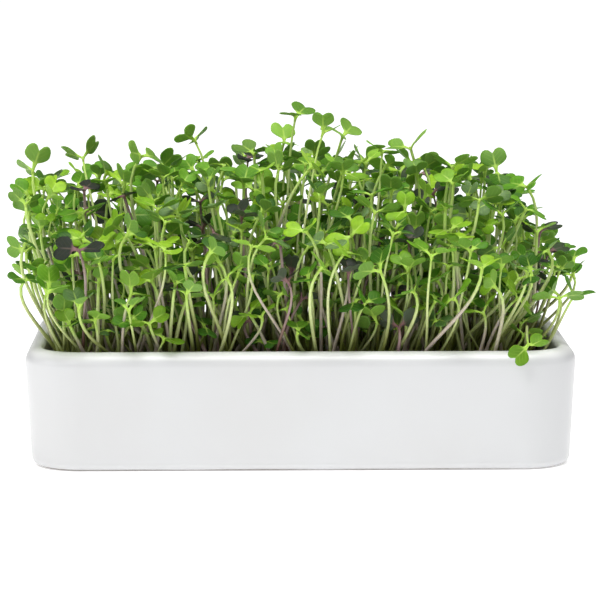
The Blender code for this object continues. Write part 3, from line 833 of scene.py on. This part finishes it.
def leaders_by_tuft():
    """Each leader's head goes to the nearest green tuft that has none yet, leaning out a little."""
    chosen = {}
    for x, y, height in LEADERS:
        free = [i for i in range(len(centres)) if i not in chosen and not is_purple(i)]
        under = (x * LEADER_LEAN[0], y * LEADER_LEAN[1])
        nearest = min(free, key=lambda i: math.dist(centres[i], under))
        chosen[nearest] = Vector((x, y, SOIL_TOP + height))
    return chosen


def root_sector(centre, turn, index):
    """The diamond of the root ball's top that one shoot grows from."""
    x, y = centre
    z = soil_height(x, y) - ROOT_SINK
    corners = [Vector((x + ROOT_RADIUS * math.cos(turn + math.tau * i / 6),
                       y + ROOT_RADIUS * math.sin(turn + math.tau * i / 6), z)) for i in range(6)]
    return [Vector((x, y, z)), corners[2 * index], corners[2 * index + 1], corners[(2 * index + 2) % 6]]


def stand_height(foot):
    """Height of the stand above the medium over a foot. It drops towards the front."""
    return skyline(foot.x) * (1 - FRONT_DROP * max(0, -foot.y / FRONT_ROW))


def held_in(x, height):
    """A head's x, kept inside the tray's ends while the head is low."""
    return held_within(x, LOW_REACH + max(0, height - LOW_HEAD))


def fanned_out(draw, x, y, height, scatter):
    """A foot's place moved out towards the tray's edge with the height over it, and scattered."""
    fan = height / FAN_HEIGHT
    return (x * (1 + FAN_ALONG * fan) + draw.uniform(-scatter, scatter),
            y * (1 + FAN_ACROSS * fan) + draw.uniform(-scatter, scatter))


def draw_head(draw, foot, rank, looseness, purple):
    """Where the head of a tuft's shoot comes to, by its rank in the tuft."""
    height = stand_height(foot) * draw.uniform(*HEIGHT_SHARES[rank]) * (PURPLE_HEIGHT if purple else 1)
    x, y = fanned_out(draw, foot.x, foot.y, height, HEAD_SCATTER[rank] * looseness)
    return Vector((held_in(x, height), y, SOIL_TOP + min(height, skyline(x))))


def nudged(draw, place, by):
    return place + Vector([draw.uniform(-by, by) for _ in range(3)])


def takes_room(room, shoot):
    """Takes the shoot's room if it is free: in reach, and clear of tray, soil and other shoots."""
    points = shoot.samples()
    fits = in_reach(points) and clears_tray(points) and clears_soil(shoot) and room.is_clear(points)
    if fits:
        room.add(points)
    return fits


def place_shoots():
    """Each tuft as its centre, turn and shoots. The tall shoots are placed first."""
    draw = random.Random(SEED)
    leaders = leaders_by_tuft()
    flopped = min(range(len(centres)), key=lambda i: math.dist(centres[i], FLOPPED_FOOT))
    tufts = [{"centre": centre, "turn": draw.uniform(0, math.tau), "shoots": []} for centre in centres]
    room = Room(CLEARANCE)
    for rank in range(SHOOTS_PER_TUFT):
        for index, tuft in enumerate(tufts):
            foot = sum(root_sector(tuft["centre"], tuft["turn"], rank), Vector()) / 4
            leads = rank == 0 and index in leaders
            hangs = rank == SHOOTS_PER_TUFT - 1 and index == flopped
            scale = LEAF_SCALES[rank] * (PURPLE_SIZE if is_purple(index) else 1)
            for attempt in range(TRIES):
                looseness = 1 + 2 * attempt / TRIES
                if leads:
                    head = nudged(draw, leaders[index], NUDGE * looseness)
                elif hangs:
                    head = nudged(draw, FLOPPED_HEAD, NUDGE * looseness)
                else:
                    head = draw_head(draw, foot, rank, looseness, is_purple(index))
                shoot = Shoot(draw, foot, head, scale, FLOPPED_ARCH if hangs else None)
                if takes_room(room, shoot):
                    shoot.tone_reach = LEADER_TONE if leads else 1
                    tuft["shoots"].append(shoot)
                    break
    return tufts


def place_loose(tufts):
    """More seedlings between the tufts, clear of them and of each other."""
    draw = random.Random(LOOSE_SEED)
    room = Room(LOOSE_CLEARANCE)
    for tuft in tufts:
        for shoot in tuft["shoots"]:
            room.add(shoot.samples())
    loose = []
    shortest, tallest = LOOSE_HEIGHTS
    for number in range(LOOSE_SEEDLINGS + LOW_SEEDLINGS):
        is_low = number >= LOOSE_SEEDLINGS
        for _ in range(LOOSE_TRIES):
            u = draw.uniform(*(LEFT_END if number % LEFT_EVERY == 0 else (-1, 1)))
            v = draw.triangular(-1, 1, BACK_LEAN)
            x, y = soil_point(u, v, top_inset + 3 * MM)
            foot = Vector((x, y, soil_height(x, y) - LOOSE_FOOT_SINK))
            if x > BARE_CORNER[0] and y < BARE_CORNER[1]:
                continue
            share = shortest + (tallest - shortest) * draw.random() * (1 - LOOSE_EDGE_DROP * v ** 4)
            height = draw.uniform(*LOW_HEIGHTS) if is_low else share * stand_height(foot)
            scatter = draw.uniform(*LOOSE_SCATTER) * (LOW_SCATTER if is_low else 1)
            head_x, head_y = fanned_out(draw, x, y, height, scatter)
            head_x = held_in(head_x, height)
            height = min(height, LOOSE_UNDER_SKYLINE * skyline(head_x))
            head = Vector((head_x, head_y, SOIL_TOP + height))
            scale = draw.uniform(*(BACK_SCALES if v > BACK_FROM else LOOSE_SCALES))
            shoot = Shoot(draw, foot, head, scale)
            if takes_room(room, shoot):
                loose.append(shoot)
                break
    return loose


def blade_pattern(notch):
    """A blade's rings as (side, share, thickness, underside) from its stalk to its far edge.

    Each ring runs underneath from the left edge to the right and back over the top. The last ring
    is the far edge, with its two lobes and the notch between them.
    """
    rows = []
    for row in BLADE_ROWS:
        turn = min(1, row / BLADE_WIDEST_AT) * math.pi / 2
        width = math.sin(turn)
        edge = BLADE_SHOULDER * ((1 - BLADE_WEDGE) * (1 - math.cos(turn)) + BLADE_WEDGE * math.sin(turn))
        if row > BLADE_WIDEST_AT:
            edge += (BLADE_SIDE_TOP - BLADE_SHOULDER) * (row - BLADE_WIDEST_AT) / (1 - BLADE_WIDEST_AT)
        ring = []
        for step in range(2 * LEAF_COLUMNS):
            angle = -math.pi * step / LEAF_COLUMNS
            side = -math.cos(angle)
            across = abs(side)
            if across > LOBE_MIDDLE:
                lobe = math.sqrt(max(0, 1 - ((across - LOBE_MIDDLE) / LOBE_MIDDLE) ** 2))
                far = BLADE_SIDE_TOP + (1 - BLADE_SIDE_TOP) * lobe
            else:
                far = notch + (1 - notch) * math.sin(math.pi / 2 * (across / LOBE_MIDDLE) ** 0.8)
            share = edge + (far - BLADE_SIDE_TOP) * row ** 1.4
            fullness = math.copysign(abs(math.sin(angle)) ** 0.6, math.sin(angle))
            fullness = 0.0 if step % LEAF_COLUMNS == 0 else fullness
            ring.append((side, width, share, fullness))
        rows.append(ring)
    return np.array(rows)


def add_leaf(growth, shoot, leaf, tone, detail):
    """One seed leaf with its stalk, as a closed skin from inside the stem's tip to the far edge."""
    out, over, face = shoot.leaf_frame(leaf)
    root = shoot.leaf_root(leaf)
    stalk_end = root + out * shoot.stalk
    start = shoot.path[3] - shoot.up * (1.7 + 0.2 * leaf["way"]) * MM
    path = (start, shoot.path[3] + shoot.up * 0.5 * MM, stalk_end - out * shoot.stalk * 0.6, stalk_end)
    sides = 2 * LEAF_COLUMNS
    points, places = [], []
    flat = shoot.aside * leaf["way"]
    narrow = STALK_HALF_WIDTH * STALK_FLARE / leaf["half_width"]
    for ring in range(STALK_RINGS):
        t = ring / STALK_RINGS
        along = bezier_tangent(path, t)
        wide = squared(flat.lerp(over, t), along)
        deep = along.cross(wide)
        middle = bezier(path, t)
        half_width = STALK_HALF_WIDTH * (1 + (STALK_FLARE - 1) * t * t)
        for step in range(sides):
            angle = -math.pi * step / LEAF_COLUMNS
            points.append(middle - wide * (half_width * math.cos(angle))
                          + deep * (STALK_HALF_THICKNESS * math.sin(angle)))
            places.append((-math.cos(angle) * narrow, -0.3 * (1 - t), 0.0))
    rows = blade_pattern(detail["notch"])
    side, width, share, fullness = (rows[:, :, i] for i in range(4))
    side = side * (narrow + (1 - narrow) * width)
    row_share = np.array(BLADE_ROWS)[:, None]
    thick = BLADE_HALF_THICKNESS + (STALK_HALF_THICKNESS - BLADE_HALF_THICKNESS) * np.exp(-row_share * 9)
    thick = thick * np.where(row_share > 0.95, EDGE_THINNING, 1.0)
    midrib = MIDRIB_DEPTH * np.exp(-(side / MIDRIB_WIDTH) ** 2) * (1 - share)
    midrib = midrib * (row_share > 0) * (fullness < 0)
    ripple = detail["ripple"] * np.sin(side * detail["waves"] + detail["phase"]) * share
    lift = (leaf["cup"] * side ** 2 - leaf["droop"] * share ** 2 + ripple
            - CREASE * np.exp(-(side / CREASE_WIDTH) ** 2) * np.minimum(1, share * 3)
            - detail["curl"] * np.maximum(0, np.abs(side) - CURL_FROM) ** 2
            + thick * fullness - midrib)
    blade = (np.array(stalk_end) + np.array(out) * (leaf["length"] * share)[:, :, None]
             + np.array(over) * (leaf["half_width"] * side)[:, :, None]
             + np.array(face) * lift[:, :, None])
    points.extend(blade.reshape(-1, 3).tolist())
    places.extend(np.stack((side, share, np.zeros_like(side)), axis=2).reshape(-1, 3).tolist())
    first = growth.add_points(points, tone, places=places)
    ring_count = STALK_RINGS + len(BLADE_ROWS)
    faces = tube_faces(first, ring_count, sides)
    unders = [1.0 if step < LEAF_COLUMNS else 0.0 for _ in range(ring_count - 1) for step in range(sides)]
    faces.append(tuple(first + i for i in reversed(range(sides))))
    last = first + (ring_count - 1) * sides
    for step in range(LEAF_COLUMNS):
        corners = (last + step, last + step + 1, last + sides - step - 1, last + (sides - step) % sides)
        faces.append(tuple(dict.fromkeys(corners)))
    unders += [0.0] * (1 + LEAF_COLUMNS)
    growth.add_faces(faces, LEAF, unders)


def add_seedling(growth, shoot, draw):
    """A whole seedling: its stem with the bud at the tip, and its two seed leaves."""
    tone = draw.random() * shoot.tone_reach
    length = (shoot.path[3] - shoot.path[0]).length
    across_phase, aside_phase = draw.uniform(0, math.tau), draw.uniform(0, math.tau)
    turns = length / STEM_WAVE
    vigour = draw.uniform(*VIGOUR)
    rings, rises = [], []
    for ring in range(STEM_RINGS + 1):
        t = ring / STEM_RINGS
        along = bezier_tangent(shoot.path, t)
        wander = STEM_WIGGLE * math.sin(math.pi * t)
        middle = (bezier(shoot.path, t)
                  + shoot.across * (wander * math.sin(turns * 3 * t + across_phase))
                  + shoot.aside * (wander * math.sin(turns * 2.3 * t + aside_phase)))
        girth = vigour * (STEM_GIRTHS[0] + (STEM_GIRTHS[1] - STEM_GIRTHS[0]) * t ** 0.8)
        rings.append(round_ring(middle, along, shoot.across, girth, STEM_SIDES))
        rises.append(t)
    for lift, girth in BUD_RINGS:
        rings.append(round_ring(shoot.path[3] + shoot.up * lift, shoot.up, shoot.across, girth, STEM_SIDES))
        rises.append(1.2)
    growth.add_tube(rings, tone, STEM, rises)
    notch = draw.uniform(*NOTCHES)
    for leaf in shoot.leaves:
        detail = {"notch": notch, "ripple": draw.uniform(*RIPPLES) * MM, "waves": draw.uniform(*RIPPLE_WAVES),
                  "phase": draw.uniform(0, math.tau), "curl": draw.uniform(*CURLS) * MM}
        add_leaf(growth, shoot, leaf, tone, detail)


def add_root_ball(growth, centre, draw):
    """The knitted roots under a tuft, a lumpy plug that fills its pit in the coir."""
    x, y = centre
    top = soil_height(x, y)
    rings = []
    for depth, girth in ROOT_RINGS:
        ring = []
        for side in range(ROOT_SIDES):
            angle = math.tau * side / ROOT_SIDES
            reach = girth * MM * draw.uniform(0.93, 1.07)
            ring.append(Vector((x + reach * math.cos(angle), y + reach * math.sin(angle),
                                top + (depth + draw.uniform(-0.25, 0.25)) * MM)))
        rings.append(ring)
    growth.add_tube(rings, draw.random(), ROOTS)


def mark(tree, name, output="Fac"):
    """An attribute that the pieces' meshes carry."""
    return node(tree, "ShaderNodeAttribute", attribute_name=name).outputs[output]


def tinted(tree, colour, tint, mask, strength):
    """A colour moved towards a tint, by the strength where the mask is 1."""
    return mixed(tree, times(tree, mask, strength), colour, tint)


# Stem colour: olive at the soil, partly the stem's own tint and partly painted shade low in the stand, pale
# above it and green towards the leaves, and in some seedlings flushed with mauve. The streaks run along the
# stem.
STEM_COLOURS = ("Foot", "Pale", "Tip", "Flush")
STEM_SHADED_FOOT_LEVELS = (SOIL_TOP + 8 * MM, SOIL_TOP + 52 * MM)
STEM_PALE_SHIFT = 22 * MM
tree, given, result = new_group("Stem Markings", STEM_COLOURS, ("Flush From",), ("Colour",), ("Streaks",))
stem_markings = tree
tone = mark(tree, "tone")
rise = mark(tree, "rise")
stretched = node(tree, "ShaderNodeMapping", {"Vector": object_place(tree), "Scale": (1, 1, 0.08)}).outputs[0]
streaks = node(tree, "ShaderNodeTexNoise", {"Vector": stretched, "Scale": 1400, "Detail": 2}).outputs[0]
streaks = ramped(tree, streaks, 0.35, 0.65)
shifted = maths(tree, "ADD", height_of(tree), times(tree, tone, STEM_PALE_SHIFT))
# Partly painted shade: the lower stem takes the olive Foot colour, as much for the shade low in the stand as
# for its own tint
colour = mixed(tree, ramped(tree, shifted, *STEM_SHADED_FOOT_LEVELS), given["Foot"], given["Pale"])
flushed = ramped(tree, tone, maths(tree, "SUBTRACT", given["Flush From"], 0.12), given["Flush From"])
flushed = times(tree, flushed, ramped(tree, rise, 0.95, 0.6))
colour = tinted(tree, colour, given["Flush"], flushed, 0.85)
colour = mixed(tree, ramped(tree, rise, 0.62, 1.05), colour, given["Tip"])
colour = tinted(tree, colour, given["Foot"], streaks, 0.22)
tree.links.new(colour, result["Colour"])
tree.links.new(streaks, result["Streaks"])

# Leaf colour: its seedling's own green, with painted shade deepening it low in the stand and painted sunlight
# paling it towards its top, apart from the leaders, with a paler underside, a pale midrib and fine side
# veins, and the stalk running into the blade. Seedlings near the middle of the range of tones are a dusky
# green. Deep is also the painted shade; Pale is only the painted sunlight.
LEAF_COLOURS = ("Deep", "Middle", "Bright", "Dusky", "Pale", "Underside", "Vein", "Stalk")
LEAF_SHADE_FROM = 60 * MM
LEAF_SHADE_TO = 115 * MM
LEAF_SUN_FROM = 112 * MM
LEAF_SUN_TO = 145 * MM
LEADERS_FROM = 133 * MM
tree, given, result = new_group("Leaf Markings", LEAF_COLOURS, (), ("Colour",), ("Relief",))
leaf_markings = tree
tone = mark(tree, "tone")
height = height_of(tree)
place = node(tree, "ShaderNodeSeparateXYZ", {"Vector": mark(tree, "leaf_place", "Vector")}).outputs
across = maths(tree, "ABSOLUTE", place["X"])
cloud = placed_group(tree, mottle, {"Patch Scale": 260, "Grain Scale": 1900})
colour = mixed(tree, ramped(tree, tone, 0.02, 0.4), given["Deep"], given["Middle"])
colour = mixed(tree, ramped(tree, tone, 0.5, 0.95), colour, given["Bright"])
dusky = times(tree, ramped(tree, tone, 0.34, 0.37), ramped(tree, tone, 0.48, 0.45))
colour = tinted(tree, colour, given["Dusky"], dusky, 0.8)
colour = tinted(tree, colour, given["Deep"], cloud["Patches"], 0.28)
# Painted shade: leaves low in the stand are darkened towards Deep
shaded = ramped(tree, height, LEAF_SHADE_TO, LEAF_SHADE_FROM)
colour = tinted(tree, colour, given["Deep"], shaded, 0.5)
# Painted sunlight: leaves near the top of the stand are paled towards Pale, less so on the tallest leaders
sunlit = times(tree, ramped(tree, height, LEAF_SUN_FROM, LEAF_SUN_TO),
               ramped(tree, height, LEADERS_FROM, LEAF_SUN_TO, 1.0, 0.2))
colour = tinted(tree, colour, given["Pale"], sunlit, 0.5)
colour = tinted(tree, colour, given["Underside"], mark(tree, "under"), 0.62)
midrib = times(tree, ramped(tree, across, 0.1, 0.02), ramped(tree, place["Y"], 0.85, 0.3))
ribs = maths(tree, "SUBTRACT", times(tree, place["Y"], 4.2), times(tree, across, 2.4))
ribs = ramped(tree, maths(tree, "PINGPONG", ribs, 0.5), 0.09, 0.0)
ribs = times(tree, ribs, ramped(tree, across, 0.9, 0.3))
veins = maths(tree, "MAXIMUM", midrib, times(tree, ribs, 0.35))
colour = tinted(tree, colour, given["Vein"], veins, 0.6)
colour = mixed(tree, ramped(tree, place["Y"], 0.16, -0.05), colour, given["Stalk"])
relief = maths(tree, "ADD", times(tree, cloud["Grain"], 0.35), times(tree, veins, -0.65))
tree.links.new(colour, result["Colour"])
tree.links.new(relief, result["Relief"])

PLANT_FLESH = {"Subsurface_Weight": 0.25, "Subsurface_Scale": 0.8 * MM}


def stem_material(name, flush_from, *colours):
    """A stem's skin. The colours are in the order of STEM_COLOURS."""
    made, tree, shader = principled(name, Roughness=0.42, Subsurface_Radius=(1.0, 0.9, 0.35), **PLANT_FLESH)
    marks = placed_group(tree, stem_markings, {"Flush From": flush_from, **dict(zip(STEM_COLOURS, colours))})
    feed(tree, shader, Base_Color=marks["Colour"])
    bumped(tree, shader, marks["Streaks"], 0.03 * MM)
    return made


def leaf_material(name, *colours):
    """A seed leaf's skin. The colours are in the order of LEAF_COLOURS."""
    made, tree, shader = principled(name, Subsurface_Radius=(0.7, 1.0, 0.15), Specular_IOR_Level=0.22,
                                    **PLANT_FLESH)
    marks = placed_group(tree, leaf_markings, dict(zip(LEAF_COLOURS, colours)))
    feed(tree, shader, Base_Color=marks["Colour"],
         Roughness=ramped(tree, marks["Relief"], -0.6, 0.4, 0.38, 0.56))
    bumped(tree, shader, marks["Relief"], 0.06 * MM)
    return made


green_finishes = [
    stem_material("green_stem", 0.85, (0.15, 0.17, 0.024, 1), (0.70, 0.80, 0.36, 1), (0.42, 0.66, 0.09, 1),
                  (0.53, 0.42, 0.41, 1)),
    leaf_material("green_leaf", (0.024, 0.095, 0.004, 1), (0.105, 0.30, 0.010, 1), (0.34, 0.59, 0.025, 1),
                  (0.17, 0.25, 0.11, 1), (0.42, 0.68, 0.12, 1), (0.20, 0.37, 0.06, 1),
                  (0.47, 0.66, 0.12, 1), (0.42, 0.64, 0.10, 1))]
purple_finishes = [
    stem_material("purple_stem", 0.4, (0.14, 0.06, 0.04, 1), (0.54, 0.42, 0.40, 1), (0.22, 0.14, 0.13, 1),
                  (0.46, 0.31, 0.32, 1)),
    leaf_material("purple_leaf", (0.012, 0.017, 0.010, 1), (0.026, 0.038, 0.020, 1),
                  (0.055, 0.095, 0.030, 1), (0.075, 0.105, 0.060, 1), (0.070, 0.120, 0.050, 1),
                  (0.10, 0.13, 0.08, 1), (0.12, 0.09, 0.07, 1), (0.22, 0.12, 0.12, 1))]
finishes = {"green": green_finishes, "purple": purple_finishes}

tufts = place_shoots()
growing = random.Random(DETAIL_SEED)
counts = {"green": 0, "purple": 0}
for index, tuft in enumerate(tufts):
    kind = "purple" if is_purple(index) else "green"
    counts[kind] += 1
    growth = Growth()
    for shoot in tuft["shoots"]:
        add_seedling(growth, shoot, growing)
    add_root_ball(growth, tuft["centre"], growing)
    label = f"{kind}_shoots_{counts[kind]:02d}"
    clump = finished_object(f"{kind}_tuft_{counts[kind]:02d}", growth.mesh(label), finishes[kind] + [coir])
    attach(clump, "root")
    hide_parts(label)

loose = place_loose(tufts)
growths = {"purple": [Growth()], "green": [Growth() for _ in range(LOOSE_PIECES)]}
for index, shoot in enumerate(loose):
    kind = "purple" if growing.random() < LOOSE_PURPLE else "green"
    growth = growths[kind][index % len(growths[kind])]
    add_seedling(growth, shoot, growing)
for kind, grown in growths.items():
    for number, growth in enumerate(grown, 1):
        label = f"loose_{kind}_seedlings_{number}"
        piece = finished_object(label, growth.mesh(label), finishes[kind])
        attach(piece, "root")


# Seed husks
# The split brown seed coats that a few seedlings still carry on the tip of a leaf lobe. Each is a
# thin cup, a dried skin with nothing fixing it but its own grip.

HUSKS = 9
HUSK_RADII = (0.85 * MM, 1.15 * MM)
HUSK_SIDES = 12
HUSK_SQUEEZE = 0.72
HUSK_DARK = (0.10, 0.040, 0.020, 1)
HUSK_PALE = (0.22, 0.100, 0.050, 1)
# Rings as (place along the cup, girth), as shares of its radius: over the outside, back inside
HUSK_RINGS = ((-0.98, 0.12), (-0.86, 0.5), (-0.55, 0.83), (-0.1, 1.0), (0.35, 0.96), (0.38, 0.86),
              (-0.1, 0.86), (-0.5, 0.68), (-0.72, 0.4), (-0.8, 0.1))

husk_skin, tree, shader = principled("seed_husk", Roughness=0.5)
cloud = placed_group(tree, mottle, {"Patch Scale": 420, "Grain Scale": 2600})
feed(tree, shader, Base_Color=mixed(tree, cloud["Patches"], HUSK_DARK, HUSK_PALE))
bumped(tree, shader, cloud["Grain"], 0.05 * MM)

husks = Growth()
for _ in range(HUSKS):
    shoot = growing.choice(loose)
    leaf = growing.choice(shoot.leaves)
    out, over, face = shoot.leaf_frame(leaf)
    side = growing.choice((-0.5, 0.5))
    radius = growing.uniform(*HUSK_RADII)
    middle = shoot.leaf_point(leaf, 0.9, side)
    pole = (out + over * side * growing.uniform(0, 1.5)).normalized()
    rings = [round_ring(middle - pole * (place * radius), pole, over, girth * radius, HUSK_SIDES,
                        HUSK_SQUEEZE) for place, girth in HUSK_RINGS]
    husks.add_tube([list(reversed(ring)) for ring in rings], growing.random())
husk_piece = finished_object("seed_husks", husks.mesh("seed_husks"), [husk_skin])
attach(husk_piece, "root")


# Set
# A seamless pale floor under an even white sky, large soft lamps from the front left, from above and
# low from the left, and the camera at the photograph's height and distance.

FLOOR_GLOW = (0.45, 0.45, 0.45, 1)
FLOOR_FAR_GLOW = (0.75, 0.75, 0.75, 1)
FLOOR_PAINT = (0.93, 0.93, 0.93, 1)
floor_paint, tree, shader = principled("floor_paint", Base_Color=FLOOR_PAINT, Roughness=0.6,
                                       Emission_Strength=1.0)
far_off = ramped(tree, node(tree, "ShaderNodeVectorMath", {0: object_place(tree)},
                            operation="LENGTH").outputs["Value"], 0.35, 2.2)
feed(tree, shader, Emission_Color=mixed(tree, far_off, FLOOR_GLOW, FLOOR_FAR_GLOW))
FLOOR_REACH = 6
floor_corners = [(side_x * FLOOR_REACH, side_y * FLOOR_REACH, 0)
                 for side_x, side_y in ((-1, -1), (1, -1), (1, 1), (-1, 1))]
floor = finished_object("floor", new_mesh("floor", floor_corners, [(0, 1, 2, 3)]), [floor_paint])

SKY_LIGHT = 0.34
world = bpy.data.worlds.new("studio")
bpy.context.scene.world = world
world.use_nodes = True
tree = world.node_tree
backdrop = node(tree, "ShaderNodeBackground", {"Color": (1, 1, 1, 1), "Strength": 1.0})
lit = tree.nodes["Background"]
lit.inputs["Color"].default_value = (1, 1, 1, 1)
lit.inputs["Strength"].default_value = SKY_LIGHT
seen = node(tree, "ShaderNodeLightPath").outputs["Is Camera Ray"]
sky = node(tree, "ShaderNodeMixShader", {0: seen, 1: lit.outputs[0], 2: backdrop.outputs[0]})
tree.links.new(sky.outputs[0], tree.nodes["World Output"].inputs["Surface"])


LAMP_SIZE = 0.9


def aimed(name, data, place, aim):
    """A lamp or camera in the scene, at its place and turned to what it looks at."""
    made = in_scene(name, data)
    made.location = place
    made.rotation_euler = (Vector(aim) - Vector(place)).to_track_quat("-Z", "Y").to_euler()
    return made


for name, place, aim, power in (("key_lamp", (-0.8, -1.7, 1.6), (0, 0, 0.07), 12),
                                ("top_lamp", (0.15, -0.3, 1.8), (0, 0, 0.05), 26),
                                ("side_lamp", (-1.6, -0.6, 0.7), (0, 0, 0.06), 7)):
    lamp = bpy.data.lights.new(name, "AREA")
    lamp.shape = "SQUARE"
    lamp.size = LAMP_SIZE
    lamp.energy = power
    aimed(name, lamp, place, aim)

CAMERA_PLACE = (-0.0308, -1.3549, 0.2388)
CAMERA_AIM = (-0.001, -0.066, 0.072)
CAMERA_LENS = 188.3
lens = bpy.data.cameras.new("camera")
lens.lens = CAMERA_LENS
lens.sensor_width = 36
lens.clip_end = 50
bpy.context.scene.camera = aimed("camera", lens, CAMERA_PLACE, CAMERA_AIM)
bpy.context.scene.view_settings.view_transform = "Standard"
